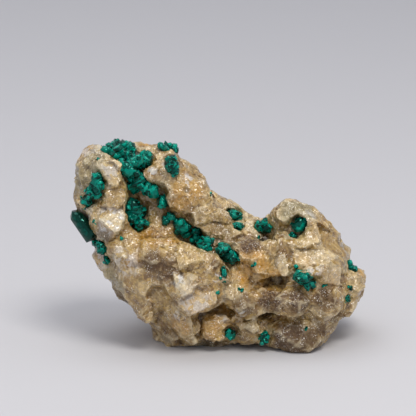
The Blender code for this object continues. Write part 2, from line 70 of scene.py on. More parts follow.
# Lights: place, size, power and colour
KEY_LIGHT = ((0.16, -0.34, 0.65), 0.26, 2.9, (1.0, 0.97, 0.92))
TOP_LIGHT = ((-0.15, 0.10, 0.70), 0.50, 1.3, (1.0, 1.0, 1.0))
LIT_MIDDLE = (0, 0, 0.025)
WORLD_COLOUR, WORLD_STRENGTH = (0.80, 0.82, 0.88, 1), 0.71
FLOOR_NEAR, FLOOR_BACK, FLOOR_BEND, FLOOR_RISE, FLOOR_SIDE = -1.2, 0.5, 0.5, 1.6, 2.0  # in metres

ROCK_NODE = "calcite_matrix"
SKIN_GRID = 0.34 * MM  # the spacing of the rock's fine mesh
ROCK_TRIANGLES = 190000  # what that mesh is thinned to
SKIN_INSET = 0.3 * MM  # how far the rock draws back before its small blocks are laid on it
SKIN_SWELL = 0.25  # millimetres that it grows by after that, clear of the dioptase
SWELL_CLEAR = (0.4, 2.0)  # from dioptase: where growing starts, and is full
SWELL_CORE = 0.2  # the share of a swell's radius that rises to its full height
BOX_MARGIN = 0.02 * MM

# Edge directions of a cleavage block: three, 102 degrees apart, round an upright axis
CLEAVAGE_ANGLE = math.radians(102)
EDGE_RISE = math.sqrt((1 + 2 * math.cos(CLEAVAGE_ANGLE)) / 3)
EDGE_REACH = math.sqrt(1 - EDGE_RISE**2)
EDGE_TURNS = np.radians([0.0, 120.0, 240.0])
BLOCK_EDGES = np.stack(
    [EDGE_REACH * np.cos(EDGE_TURNS), EDGE_REACH * np.sin(EDGE_TURNS), np.full(3, EDGE_RISE)], axis=1
)

# Patches on the rock: (across, up, radius, strength), in millimetres
STAIN_IRON = [
    (-9.1, 39.7, 6.0, 0.6), (-18.6, 26.2, 5.5, 0.8), (-26.7, 27.3, 2.4, 0.7), (-13.2, 26.7, 4.0, 0.8),
    (-15.9, 46.4, 2.8, 0.4), (8.4, 19.4, 6.5, 1.0), (13.3, 16.7, 3.8, 0.9), (-5.1, 10.0, 6.0, 0.45),
    (1.7, 7.3, 4.3, 0.5), (-9.9, 3.0, 3.3, 0.8), (38.1, 18.1, 2.2, 1.0), (27.9, 30.2, 4.3, 0.35),
    (21.9, 20.3, 2.8, 0.4), (-11.0, 35.6, 4.4, 0.7), (-1.0, 3.2, 5.6, 0.6), (-23.1, 20.3, 3.3, 0.4),
    (18.1, 31.1, 2.3, 0.4), (-35.0, 36.0, 3.0, 0.5), (-1.5, 25.5, 4.5, 0.6), (30.0, 16.0, 3.5, 0.4),
    (14.0, 12.5, 2.2, 0.7), (24.0, 12.5, 2.4, 0.6), (10.5, 11.0, 1.8, 0.6), (18.0, 2.6, 2.4, 0.5),
]
STAIN_EARTH = [
    (8.4, 24.6, 3.6, 1.0), (-17.2, 20.3, 3.8, 0.9), (-13.7, 17.6, 2.8, 0.8), (7.1, 8.7, 4.0, 0.8),
    (13.8, 10.0, 4.4, 1.0), (21.4, 10.0, 4.4, 1.0), (28.7, 10.5, 3.8, 0.9), (-19.9, 2.4, 4.9, 0.7),
    (-14.5, 0.5, 3.8, 0.6), (19.2, -0.8, 6.5, 0.9), (27.3, -0.3, 5.0, 0.85), (-0.5, 19.7, 1.8, 0.8),
    (3.6, 1.9, 3.8, 0.5), (-26.5, 11.5, 4.5, 0.6), (-22.6, 6.8, 3.6, 0.6), (-11.8, 10.0, 1.3, 0.9),
    (33.0, 6.0, 3.5, 0.6), (-31.5, 17.0, 3.5, 0.5), (-25.5, 10.0, 4.5, 0.8), (-24.0, 6.0, 3.5, 0.4),
]
FROST = [
    (-28.6, 31.6, 4.0, 1.0), (-10.5, 6.2, 2.1, 0.9), (-5.1, 5.9, 2.1, 0.9), (0.9, 5.9, 2.1, 0.8),
    (5.7, 6.8, 1.8, 0.8), (-13.7, 46.2, 2.0, 0.7), (-17.7, 44.6, 1.4, 1.0), (-8.3, 42.4, 2.1, 0.8),
    (26.0, 18.6, 2.6, 0.9), (20.8, 15.4, 1.7, 0.6),
    (-0.7, 16.2, 1.2, 1.0), (-11.0, 15.9, 2.3, 0.9), (-34.8, 34.0, 2.3, 0.5), (-29.1, 45.1, 3.2, 0.7),
    (-26.7, 23.5, 2.3, 0.5), (-6.0, 10.5, 5.0, 0.6), (24.5, 33.0, 2.0, 0.6), (-25.0, 20.0, 4.5, 0.6),
]
CRUST = [
    (-33.4, 47.8, 6.0, 0.8), (-37.5, 42.4, 5.6, 0.8), (-25.3, 50.5, 4.0, 0.5), (-25.3, 10.0, 6.2, 0.6),
    (-30.7, 14.0, 4.0, 0.6), (5.0, 36.5, 4.0, 0.4), (33.0, 27.0, 4.0, 0.5), (15.0, 28.5, 4.0, 0.5),
]
SMOKE = [
    (-30.4, 27.8, 2.8, 0.9), (-8.6, 39.7, 1.2, 0.9), (32.7, 25.4, 1.8, 0.9), (8.4, 3.0, 2.3, 0.6),
    (-6.9, 33.2, 3.4, 0.5), (1.7, 17.6, 2.6, 0.4), (-18.0, 22.1, 2.6, 0.4), (-6.0, 29.5, 2.5, 0.4),
    (20.0, -0.6, 7.0, 0.7), (-9.0, 26.0, 2.6, 0.3), (14.5, 26.5, 2.6, 0.5),
    (-30.0, 14.0, 5.0, 0.4), (24.0, 7.5, 5.0, 0.3),
]
SMOOTH = [(24.5, 29.5, 7.0, 1.0), (20.5, 23.0, 5.5, 1.0), (29.0, 22.0, 5.0, 0.7), (-29.0, 31.0, 3.5, 0.7)]
# Where the picture's outline lies outside the rock's: (across, up, radius, height)
SWELLS = [
    (-32.5, 22.0, 6.5, 2.4), (-34.0, 27.0, 4.5, 1.0), (-28.0, 12.0, 4.5, 1.0), (-21.3, 3.5, 5.0, 1.1),
    (-17.0, 0.5, 4.0, 1.4), (35.0, 22.7, 5.0, 1.4), (38.0, 18.0, 3.5, 0.7), (34.5, 8.0, 5.0, 2.0),
    (31.0, 3.0, 4.5, 0.9), (25.5, 34.0, 4.5, 1.2), (18.7, 36.0, 4.0, 1.2), (-33.0, 51.0, 5.0, 0.8),
    (-5.0, 41.5, 4.0, 0.6),
]
SUGARY = [
    (8.4, 24.6, 3.6, 1.0), (-16.5, 19.5, 5.5, 0.8), (7.1, 8.7, 4.5, 0.8), (13.8, 10.0, 5.0, 1.0),
    (21.4, 10.0, 5.0, 1.0), (28.7, 10.5, 4.5, 1.0), (-18.6, 26.2, 5.0, 0.5), (23.0, -0.5, 7.0, 0.7),
    (-25.0, 11.0, 7.0, 0.6),
]
# Flat faces that the picture shows: name, degrees turned right and leaned up from facing the camera,
# millimetres proud of the rock in the middle, painted light from -1 (painted shade) to 1 (painted highlight),
# and corners
FACETS = [
    ("bright face on the dome", 12, 25, 0.3, 0.4,
     [(-32.7, 46.9), (-28.0, 47.1), (-25.8, 42.8), (-27.3, 40.6), (-30.7, 41.7)]),
    ("streaked face under it", 20, 10, 0.0, 0.2,
     [(-31.1, 39.2), (-25.5, 41.0), (-24.9, 37.4), (-28.0, 35.0), (-31.1, 35.6)]),
    ("ledge top", -5, 50, 0.6, 0.3,
     [(-39.3, 35.0), (-33.6, 35.6), (-29.4, 34.5), (-32.7, 31.8), (-37.0, 33.6)]),
    ("white cleavage face", 24, 34, 1.6, 1.0,
     [(-32.1, 31.8), (-25.5, 35.7), (-24.6, 32.0), (-27.0, 27.3), (-30.5, 30.2)]),
    ("its shaded side", -38, -12, 0.8, -0.4,
     [(-33.6, 28.4), (-32.2, 31.8), (-30.3, 30.1), (-27.1, 27.2), (-32.6, 24.2)]),
    ("grey slab", 5, 35, 0.6, -0.1, [(-27.0, 30.2), (-22.6, 30.7), (-22.7, 28.4), (-26.3, 27.8)]),
    ("recess face", -20, 15, -0.8, -0.2,
     [(-18.8, 34.7), (-15.9, 37.4), (-13.7, 32.5), (-16.3, 29.3), (-18.2, 30.2)]),
    ("nose, left face", -35, 20, 0.0, 0.2,
     [(-20.4, 43.7), (-18.3, 46.7), (-15.9, 46.0), (-17.7, 42.4), (-19.5, 41.7)]),
    ("nose, right face", 22, 28, 0.8, 0.6,
     [(-18.2, 46.4), (-14.1, 48.7), (-10.5, 43.3), (-13.6, 39.7), (-16.8, 41.0)]),
    ("shoulder", 28, 30, 0.6, 0.0, [(-13.4, 39.9), (-9.6, 44.2), (-3.7, 42.2), (-2.4, 39.2), (-8.7, 38.1)]),
    ("under the shoulder", 10, -14, -0.2, -0.1,
     [(-13.4, 37.0), (-8.2, 37.9), (-2.6, 38.8), (-3.3, 35.6), (-11.4, 33.4)]),
    ("columns, left", -15, 0, -0.3, -0.3, [(-11.4, 32.7), (-7.8, 33.6), (-6.9, 30.2), (-10.5, 30.2)]),
    ("columns, right", 30, 10, 0.5, 0.2,
     [(-7.3, 33.6), (-4.2, 35.0), (-2.1, 32.0), (-3.3, 30.7), (-6.6, 30.2)]),
    ("bridge", 5, 45, 0.5, 0.3,
     [(-1.7, 38.8), (2.1, 38.1), (7.5, 35.6), (8.0, 33.6), (2.1, 33.2), (-1.9, 34.7)]),
    ("lens top", 10, 38, 0.6, 0.1,
     [(-5.3, 30.2), (-1.0, 31.4), (3.9, 30.2), (6.6, 28.4), (2.1, 26.2), (-2.8, 27.3)]),
    ("curved ridge top", 5, 40, 0.6, 0.6,
     [(3.5, 30.9), (9.6, 31.6), (11.8, 29.8), (8.9, 28.4), (4.8, 29.1)]),
    ("curved ridge end", 35, -5, 0.9, 0.9, [(8.9, 28.4), (11.8, 29.7), (12.4, 25.7), (10.7, 26.3)]),
    ("glassy face", -10, 20, 0.0, -0.3, [(12.7, 26.4), (15.9, 26.2), (16.2, 23.9), (14.1, 22.1)]),
    ("wedge", -25, 10, 1.2, 0.7, [(14.7, 21.9), (17.9, 23.0), (18.7, 16.7), (17.4, 16.1), (15.0, 19.0)]),
    ("lump", 0, 18, 0.9, -0.3,
     [(4.8, 24.2), (8.0, 26.6), (10.9, 26.2), (12.0, 23.5), (8.9, 21.9), (5.3, 21.9)]),
    ("orange face", 25, 12, 0.6, 0.2,
     [(8.0, 21.2), (12.1, 23.4), (15.2, 19.4), (15.6, 16.5), (10.2, 17.2)]),
    ("frosted block", -12, 18, 0.8, 0.4,
     [(4.4, 19.9), (8.9, 21.2), (8.4, 17.2), (6.2, 12.2), (2.8, 10.4), (1.2, 14.0)]),
    ("greenish lens", -10, 8, 0.4, -0.2,
     [(-0.6, 18.3), (1.5, 20.8), (3.3, 18.1), (2.1, 15.2), (0.1, 15.4)]),
    ("yellow glassy block", 12, 10, 0.4, -0.2,
     [(-4.2, 24.8), (1.5, 22.8), (-0.3, 19.0), (-3.3, 18.5), (-5.1, 21.7)]),
    ("rim face, left", -10, 6, 0.4, -0.1,
     [(-26.1, 28.2), (-21.0, 28.2), (-20.4, 23.0), (-23.3, 20.6), (-25.3, 23.9)]),
    ("rim face, middle", 14, 12, 0.3, -0.1,
     [(-20.4, 27.2), (-10.7, 26.6), (-11.1, 23.0), (-17.2, 19.9), (-20.6, 22.8)]),
    ("rim face, right", 20, 25, 0.2, 0.1,
     [(-10.4, 26.2), (-4.6, 24.6), (-5.3, 21.2), (-10.5, 18.5), (-11.4, 21.7)]),
    ("outer left face", -30, 18, 0.5, 0.1,
     [(-29.8, 26.0), (-26.3, 28.2), (-25.1, 24.2), (-24.0, 21.2), (-28.5, 22.6)]),
    ("crease floor", 0, -30, -1.4, -0.8,
     [(-19.5, 19.0), (-12.3, 21.9), (-10.8, 20.8), (-16.3, 16.7), (-20.1, 15.4)]),
    ("white triangle", 30, 30, 1.0, 1.0,
     [(-12.3, 17.4), (-8.0, 15.4), (-6.6, 12.5), (-9.3, 11.1), (-11.6, 14.0)]),
    ("cream block face", -6, 14, 0.9, 0.6,
     [(-11.4, 11.3), (-7.3, 12.0), (-0.6, 15.6), (-0.1, 9.5), (-3.3, 6.6), (-10.5, 5.5)]),
    ("block left of the crack", 12, 8, 0.2, 0.2,
     [(-17.4, 14.0), (-11.8, 12.7), (-13.2, 6.4), (-16.3, 8.2), (-19.0, 11.3)]),
    ("tooth", -8, -6, 1.3, 0.5, [(-11.8, 4.8), (-7.3, 5.5), (-6.8, 0.5), (-9.1, 0.3), (-12.0, 3.0)]),
    ("lower middle", 12, 10, 0.3, 0.2,
     [(-4.6, 4.6), (0.3, 5.0), (4.8, 4.1), (3.7, 1.7), (-0.8, -1.3), (-4.2, -0.8)]),
    ("grey cleavage block", 8, 30, 1.2, 0.3, [(6.9, 3.5), (10.2, 4.7), (11.4, 2.3), (8.9, 0.9)]),
    ("lobe peak", -16, 30, 0.6, 0.7,
     [(15.2, 34.1), (17.5, 36.9), (20.1, 36.5), (19.8, 32.7), (18.1, 30.2), (15.6, 32.0)]),
    ("lobe peak, right", 32, 34, 0.2, 0.1,
     [(20.4, 36.3), (24.6, 34.7), (26.0, 32.0), (21.9, 32.0), (20.1, 32.9)]),
    ("lobe ear", -12, 20, 1.1, 0.4, [(19.9, 27.1), (23.5, 29.6), (26.0, 30.7), (27.3, 25.7), (21.9, 24.6)]),
    ("lobe back face", 34, 22, 0.3, -0.1,
     [(26.4, 30.9), (30.3, 28.2), (35.2, 21.9), (33.6, 21.2), (28.0, 24.4)]),
    ("slab", 6, 34, 0.9, 0.7,
     [(20.4, 23.9), (27.3, 24.0), (33.6, 21.6), (30.9, 21.0), (23.7, 18.2), (20.2, 18.6)]),
    ("corner block, front", -18, 6, 1.0, -0.2, [(24.0, 18.0), (29.5, 21.0), (29.1, 14.7), (24.6, 14.9)]),
    ("corner block, side", 38, 4, 0.6, 0.8, [(29.6, 21.0), (32.7, 19.0), (33.2, 14.0), (29.2, 14.7)]),
    ("edge knob", 22, 12, 0.3, 0.3, [(35.4, 19.0), (39.7, 18.1), (40.2, 14.0), (37.7, 11.8), (34.3, 14.5)]),
]
FACET_STRENGTH = 0.75  # how far a face turns from the rock's own slope to the slope in the table
FACET_SEEN, FACET_MOVE = 4.5, 3.0  # reach in depth and furthest move, in millimetres
FACET_CLEAR = (0.7, 2.4)  # from dioptase: where moving starts, and is full
FACET_SPREAD = 8  # rounds in which the rock between faces takes on their moves
FACET_PROUD = 0.5  # the share that is taken of the heights in the table
FACET_FLAT = 0.85  # the share of the way to the plane that points move
FACET_PROBES, FACET_PROBE_SPREAD = 40, 0.8  # places inside an outline where the rock's slope is read
FACET_STEEPEST = 1.2  # the steepest slope that is taken from the rock
FACET_EVEN = 0.7  # how much less a laid face is broken by cleavage

# The rim of a patch: how ragged it is and where it starts to fade and ends, in radii, and the size
# of the noise that makes it ragged, in millimetres
PATCH_RAGGED, PATCH_RIM, PATCH_NOISE = 0.35, (0.55, 1.15), 2.2
# On the sides that the picture doesn't show, patches lie where a seed puts them
HIDDEN_PATCHES, HIDDEN_TRIES = 26, 4
HIDDEN_RADIUS, HIDDEN_STRENGTH = (2.0, 6.5), (0.4, 1.0)
EDGE_ON = 0.05  # a face this near to edge-on counts as neither seen nor hidden

SEED_BLOCKS, SEED_GRAINS, SEED_HIDDEN, SEED_GROWTH = 7, 31, 53, 71
SALT_SMOOTH, SALT_SUGARY, SALT_FACES, SALT_STAINS, SALT_CROWD, SALT_ROUGH = 3, 4, 5, 10, 61, 90
HASH_AXES, HASH_SALT, HASH_STEP = (73856093, 19349663, 83492791), 2654435761, 0x9E3779B97F4A7C15
HASH_MIXES, HASH_LAST = ((30, 0xBF58476D1CE4E5B9), (27, 0x94D049BB133111EB)), 31
NOISE_FALL, NOISE_SHIFT = 0.55, 17.3  # an octave's height to the one before, and how far it is moved
MERGE_STEP = 1e-7  # points of a solid that are nearer than this are one
CLOUD_COUNT, CLOUD_REACH = 40000, 5 * MM  # scattered places that stand for the rock's surface
GAP_PLACES = 160  # scattered places that stand for a crystal solid's surface
CAMERA_SIDE = 0.3  # how far towards the camera a ray to the rock starts

LARGE_COUNT, LARGE_HALF, LARGE_PROUD = 700, (1.1, 3.0), (0.0, 0.3)
LARGE_LEAN = 0.25  # how far a large block's face leans from the rock's own
LARGE_BACK = 0.45  # large blocks lie only where the rock faces away from the camera by this much
LARGE_LOWEST, LARGE_CLEAR = 2.0, 1.5  # kept clear above the floor and round the dioptase
LARGE_UNEVEN, LARGE_OUT = (0.6, 1.3), 0.35
LARGE_GRID = 0.5 * MM
BLOCK_COUNT, BLOCK_HALF, BLOCK_UNEVEN = 7000, (0.25, 1.2), (0.6, 1.4)
BLOCK_SKEW = 2.2  # a power that makes small blocks the most common
BLOCK_PROUD = (0.1, 0.45)  # as a share of the half size
BLOCK_SHAKE = 0.04  # how far blocks of one grain differ in their turn
BLOCK_LOWEST, BLOCK_CLEAR = 0.8, 0.9  # kept clear above the floor and round the dioptase
BLOCK_CROWD, BLOCK_CROWD_SIZE = (-0.25, 0.35), 6.0  # the noise between sparse and crowded places
BLOCK_SPARSE, BLOCK_MILKY = 0.35, 0.9  # the share of blocks in sparse places, and lost on milky rock
GRAINS = [  # single small grains of dioptase: (across, up)
    (-32.0, 47.8), (-2.0, 38.3), (-0.5, 12.2), (1.3, 15.4), (5.9, 13.0), (9.4, 19.8), (28.2, 14.3),
    (35.4, 13.2), (23.8, 2.4), (10.6, 26.7), (-26.1, 26.7), (-35.0, 25.1), (-33.1, 31.1),
]
# In a grain: crystals, how far off its middle they are, their radius, and their length in radii
GRAIN_CRYSTALS, GRAIN_SPREAD, GRAIN_RADIUS, GRAIN_LENGTH = 4, 0.5, (0.25, 0.5), 3.0
GRAIN_SIZE = 7.0 * MM  # of the calcite's own grains, in each of which the cleavage lies one way
# Cleavage faces: size, salt, and how far the points move to their plane
CLEAVAGE_LARGE = (4.5 * MM, 21, 0.9)
CLEAVAGE_MEDIUM = (2.2 * MM, 22, 0.8)
CLEAVAGE_SUGAR = (1.3 * MM, 23, 0.8)
CLEAVAGE_PULL = 0.7  # how far a face turns to its grain's cleavage direction
CLEAVAGE_LIMIT = 0.22  # the furthest that a face moves a point, as a share of the cell size
CLEAVAGE_MATCH = (0.3, 0.7)  # the likeness to the face's normal where moving starts, and is full
BLUNT_ROUNDS, BLUNT_OFF = 4, (0.17, 0.30)  # millimetres off the mean: where moving starts, and is full
MILKY_ROUNDS, MILKY_MOVE = 24, 0.7  # rounds and strength of smoothing where the rock is milky
RELIEF_ROUNDS, RELIEF_HEIGHT = 12, 0.26  # the height over smoothed rock that counts as a full edge
ROUGH, ROUGH_SUGARY, ROUGH_MILKY, ROUGH_SIZE = 0.05, 0.15, 0.03, 1.3  # heights, and size of the noise
PAINTED_FACE_LIGHT, TONE_FACE_OWN = 0.42, 0.08  # on a laid face: the weight of its painted light and shade, and of its cells' random tone
TONE_LARGE, TONE_OWN = 0.4, 0.6  # elsewhere: the weight of the large and of the medium cells
SHARP_ANGLE = math.radians(40)
WARPS = [(6.0, 0.25, 111), (2.4, 0.10, 121)]  # waves that keep faces from being ruled: size, height, seed

# Dioptase: the radius of the small crystals on each solid, in millimetres
GROWTH_RADIUS = {"default": 0.75, "upper_crust": 0.9, "bud": 0.5, "edge_prism": 0.0}
GROWTH_SHRUNK = {"default": 0.84, "crust": 0.97, "crest": 0.92}  # how far a solid draws in to its middle
GROWTH_FLAT = 0.42  # the share that is kept of a solid's height over the rock
GROWTH_PROUD = (-0.25, 0.2)  # how far a small crystal stands out, in its radii
GROWTH_LEAN, GROWTH_SPIN = 0.3, 0.25  # how far its axis leans out of the surface, and turns on itself
GROWTH_UNEVEN, GROWTH_LENGTH = (0.6, 1.4), (2.1, 3.1)  # its radius, and its length in radii
PRISM_TAPER = (1.45, 0.9)  # its width at the lower and the upper end, to the solid's
CROWD = 3.4  # the area of solid to each small crystal, in squares of their radius
APRON_REACH, APRON_SHARE = 0.5, 0.10  # small crystals on the rock: how far out, and at what share of points
APRON_RADIUS = 0.8  # their radius, to that of the others
SIDE_REACH = math.cos(math.radians(30))  # from a crystal's axis to its sides, in its radii
RHOMB_END_FALL = 1.23  # how far a crystal's end face falls over one radius
CRYSTAL_POINTS = 14
TONE_STEPS, TONE_GROWN, TONE_BARE = 6, 0.75, 0.3  # tones of a solid's own faces, grown over and bare; the bare prism's lower tone is partly painted shade, as it lies under the rock, and partly its own deep green

PAINTS = {  # colours as 0 to 255 on a screen
    "cream": (236, 200, 118), "umber": (134, 90, 24), "dark line": (112, 82, 42),
    "pale line": (244, 230, 194), "pale tone and painted highlight": (244, 234, 210), "dark tone and painted shade": (112, 88, 54),
    "crust": (150, 138, 96), "iron": (204, 146, 30), "smoke": (70, 56, 26), "earth": (74, 42, 6),
    # two colours on the next line are painted light: a white painted glint, and a deep golden painted shade
    # for hollows
    "frost": (236, 234, 230), "pore": (84, 64, 40), "painted_glint": (255, 248, 234), "painted hollow shade": (82, 54, 14),
    "pale raised edge": (238, 222, 184), "deep green": (0, 36, 26), "blue green": (0, 204, 176),
    "floor": (201, 200, 203),
}
MIDDLE = (0.5, 0.5, 0.5)  # the mean of a random colour


def unit(vectors):
    """Vectors made one long."""
    return vectors / np.maximum(np.linalg.norm(vectors, axis=-1, keepdims=True), 1e-12)


def cell_random(cells, salt, count):
    """Numbers from 0 to 1 that depend only on a cell's three whole numbers: their bits are mixed."""
    whole = cells.astype(np.int64).astype(np.uint64)
    parts = [whole[..., axis] * np.uint64(factor) for axis, factor in enumerate(HASH_AXES)]
    key = (parts[0] ^ parts[1] ^ parts[2]) + np.uint64(salt * HASH_SALT)
    made = []
    for _ in range(count):
        key = key + np.uint64(HASH_STEP)
        mixed = key
        for shift, factor in HASH_MIXES:
            mixed = (mixed ^ (mixed >> np.uint64(shift))) * np.uint64(factor)
        made.append(((mixed ^ (mixed >> np.uint64(HASH_LAST))) >> np.uint64(11)) / float(2**53))
    return np.stack(made, axis=-1)


def nearest_cell(points, size, salt):
    """Splits space into cells round scattered centres, one in each cube of this size. Returns, for
    each point, the cube that its nearest centre is in."""
    scaled = points / size
    home = np.floor(scaled).astype(np.int64)
    nearest = np.full(len(points), np.inf)
    owner = home.copy()
    for step in np.ndindex(3, 3, 3):
        cell = home + np.array(step) - 1
        away = np.linalg.norm(cell + cell_random(cell, salt, 3) - scaled, axis=1)
        closer = away < nearest
        owner = np.where(closer[:, None], cell, owner)
        nearest = np.where(closer, away, nearest)
    return owner


def noise(points, size, salt, octaves=1):
    """Smooth noise from -1 to 1: random values at the corners of a grid, blended by eased weights,
    with each octave half the size and a little over half the height of the one before."""
    total = np.zeros(len(points))
    weight_sum = 0.0
    for octave in range(octaves):
        scaled = points / (size / 2**octave) + NOISE_SHIFT * octave
        home = np.floor(scaled)
        part = scaled - home
        part = part * part * (3 - 2 * part)
        value = np.zeros(len(points))
        for corner in np.ndindex(2, 2, 2):
            corner = np.array(corner)
            weight = np.prod(np.where(corner == 1, part, 1 - part), axis=1)
            value += weight * cell_random(home + corner, salt + octave, 1)[:, 0]
        weight_sum += NOISE_FALL**octave
        total += NOISE_FALL**octave * (2 * value - 1)
    return total / weight_sum


def eased(low, high, values):
    """From 0 at the low value to 1 at the high one, with level ends: three squares less two cubes."""
    share = np.clip((values - low) / (high - low), 0, 1)
    return share * share * (3 - 2 * share)


def turns_from(random4):
    """Turning matrices from four random numbers each, read as the parts of a quaternion."""
    w, x, y, z = np.moveaxis(unit(random4 * 2 - 1), -1, 0)
    rows = [
        [1 - 2 * (y * y + z * z), 2 * (x * y - w * z), 2 * (x * z + w * y)],
        [2 * (x * y + w * z), 1 - 2 * (x * x + z * z), 2 * (y * z - w * x)],
        [2 * (x * z - w * y), 2 * (y * z + w * x), 1 - 2 * (x * x + y * y)],
    ]
    return np.stack([np.stack(row, axis=-1) for row in rows], axis=-2)


def mesh_arrays(obj):
    """Points and triangles of an object's evaluated mesh, with doubled points merged."""
    evaluated = obj.evaluated_get(bpy.context.evaluated_depsgraph_get())
    mesh = evaluated.to_mesh()
    mesh.calc_loop_triangles()
    points = np.empty(len(mesh.vertices) * 3, np.float32)
    mesh.vertices.foreach_get("co", points)
    faces = np.empty(len(mesh.loop_triangles) * 3, np.int32)
    mesh.loop_triangles.foreach_get("vertices", faces)
    evaluated.to_mesh_clear()
    keys = np.round(points.reshape(-1, 3) / MERGE_STEP).astype(np.int64)
    _, first, index = np.unique(keys, axis=0, return_index=True, return_inverse=True)
    faces = index.reshape(-1)[faces.reshape(-1, 3)]
    real = (faces[:, 0] != faces[:, 1]) & (faces[:, 1] != faces[:, 2]) & (faces[:, 0] != faces[:, 2])
    return points.reshape(-1, 3)[first].astype(float), faces[real]


def face_arrays(mesh, sides):
    """Points and corner indices of a mesh whose faces all have this many sides."""
    points = np.empty(len(mesh.vertices) * 3, np.float32)
    mesh.vertices.foreach_get("co", points)
    corners = np.empty(len(mesh.loops), np.int32)
    mesh.loops.foreach_get("vertex_index", corners)
    return points.reshape(-1, 3).astype(float), corners.reshape(-1, sides)


def triangles(faces):
    """Four-sided faces cut along a diagonal. Three-sided ones stay."""
    return faces if faces.shape[1] == 3 else np.concatenate([faces[:, :3], faces[:, [0, 2, 3]]])


def face_normals(points, faces):
    """Normals as long as twice each face's area, from its first three corners or its diagonals."""
    if faces.shape[1] == 4:
        return np.cross(points[faces[:, 2]] - points[faces[:, 0]], points[faces[:, 3]] - points[faces[:, 1]])
    return np.cross(points[faces[:, 1]] - points[faces[:, 0]], points[faces[:, 2]] - points[faces[:, 0]])


def point_normals(points, faces):
    """Each point's normal: the sum of the normals of the faces round it, made one long."""
    normals = face_normals(points, faces)
    total = np.zeros_like(points)
    for corner in range(faces.shape[1]):
        for axis in range(3):
            total[:, axis] += np.bincount(faces[:, corner], normals[:, axis], len(points))
    return unit(total)


def scattered(points, faces, count, rng):
    """Random places on a mesh, as likely on any square millimetre as on any other, with normals."""
    faces = triangles(faces)
    normals = face_normals(points, faces)
    areas = np.linalg.norm(normals, axis=1)
    picks = rng.choice(len(faces), count, p=areas / areas.sum())
    share = rng.random((count, 2))
    over = share.sum(axis=1) > 1
    share[over] = 1 - share[over]
    a, b, c = (points[faces[picks, k]] for k in range(3))
    return a + share[:, :1] * (b - a) + share[:, 1:] * (c - a), unit(normals[picks])


def new_mesh_object(name, points, faces):
    """A linked object at the origin from point and corner arrays, all faces with as many corners."""
    sides = faces.shape[1]
    mesh = bpy.data.meshes.new(name)
    mesh.vertices.add(len(points))
    mesh.vertices.foreach_set("co", np.ascontiguousarray(points, np.float32).ravel())
    mesh.loops.add(faces.size)
    mesh.loops.foreach_set("vertex_index", np.ascontiguousarray(faces, np.int32).ravel())
    mesh.polygons.add(len(faces))
    mesh.polygons.foreach_set("loop_start", np.arange(0, faces.size, sides, dtype=np.int32))
    mesh.update(calc_edges=True)
    mesh.validate()
    obj = bpy.data.objects.new(name, mesh)
    bpy.context.collection.objects.link(obj)
    return obj


def largest_part(points, faces):
    """The connected part with the most points: labels spread along edges until none changes."""
    label = np.arange(len(points))
    ends = np.concatenate([faces[:, [k, (k + 1) % faces.shape[1]]] for k in range(faces.shape[1])])
    while True:
        low = np.minimum(label[ends[:, 0]], label[ends[:, 1]])
        spread = label.copy()
        np.minimum.at(spread, ends[:, 0], low)
        np.minimum.at(spread, ends[:, 1], low)
        spread = spread[spread]
        if (spread == label).all():
            break
        label = spread
    names, counts = np.unique(label, return_counts=True)
    kept = label == names[counts.argmax()]
    renumber = np.cumsum(kept) - 1
    return points[kept], renumber[faces[kept[faces[:, 0]]]]


def cleavage_blocks(centres, normals, halves, proud, turns):
    """Small cleavage blocks: eight corners at plus or minus half an edge along three edge directions.
    Each is pushed into the rock until it stands proud of the place by the given height."""
    edges = np.einsum("nij,kj->nki", turns, BLOCK_EDGES)
    reach = (halves * np.abs(np.einsum("nki,ni->nk", edges, normals))).sum(axis=1)
    middle = centres + normals * (proud - reach)[:, None]
    signs = np.array([[x, y, z] for z in (-1, 1) for y in (-1, 1) for x in (-1, 1)])
    corners = middle[:, None] + np.einsum("ck,nk,nki->nci", signs, halves, edges)
    quads = np.array([[0, 2, 3, 1], [4, 5, 7, 6], [0, 1, 5, 4], [2, 6, 7, 3], [0, 4, 6, 2], [1, 3, 7, 5]])
    faces = quads[None] + 8 * np.arange(len(centres))[:, None, None]
    return corners.reshape(-1, 3), faces.reshape(-1, 4)


DIOPTASE_NODES = sorted(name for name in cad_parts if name.startswith("dioptase"))
ROCK_POINTS, ROCK_FACES = mesh_arrays(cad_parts[ROCK_NODE])
ROCK_TREE = BVHTree.FromPolygons(ROCK_POINTS.tolist(), ROCK_FACES.tolist())
ROCK_CLOUD = scattered(ROCK_POINTS, ROCK_FACES, CLOUD_COUNT, np.random.default_rng(SEED_BLOCKS))


def spot(across, up, tree=ROCK_TREE):
    """The place on the rock that the camera sees at (across, up), in metres."""
    start = MM * (across * PICTURE_RIGHT + up * PICTURE_UP) - CAMERA_SIDE * LOOK
    hit = tree.ray_cast(Vector(start), Vector(LOOK))[0]
    if hit is None:
        hit = tree.find_nearest(Vector(start + CAMERA_SIDE * LOOK))[0]
    return np.array(hit)


def hidden_patches(salt):
    """Patches on the sides that the camera doesn't see, at random places there."""
    rng = np.random.default_rng(SEED_HIDDEN + salt)
    places, normals = scattered(ROCK_POINTS, ROCK_FACES, HIDDEN_PATCHES * HIDDEN_TRIES, rng)
    away = normals @ LOOK > EDGE_ON
    places = places[away][:HIDDEN_PATCHES]
    radii = rng.uniform(*HIDDEN_RADIUS, len(places)) * MM
    strengths = rng.uniform(*HIDDEN_STRENGTH, len(places))
    return list(zip(places, radii, strengths))


def patch_mask(points, patches, salt, hidden=True):
    """How strongly patches cover each point: full in a patch's middle and eased to nothing at a rim
    that noise makes ragged."""
    ragged = PATCH_RAGGED * noise(points, PATCH_NOISE * MM, salt, 3)
    placed = [(spot(across, up), radius * MM, strength) for across, up, radius, strength in patches]
    if hidden:
        placed += hidden_patches(salt)
    mask = np.zeros(len(points))
    for place, radius, strength in placed:
        off = np.linalg.norm(points - place, axis=1) / radius + ragged
        mask = np.maximum(mask, strength * (1 - eased(*PATCH_RIM, off)))
    return mask


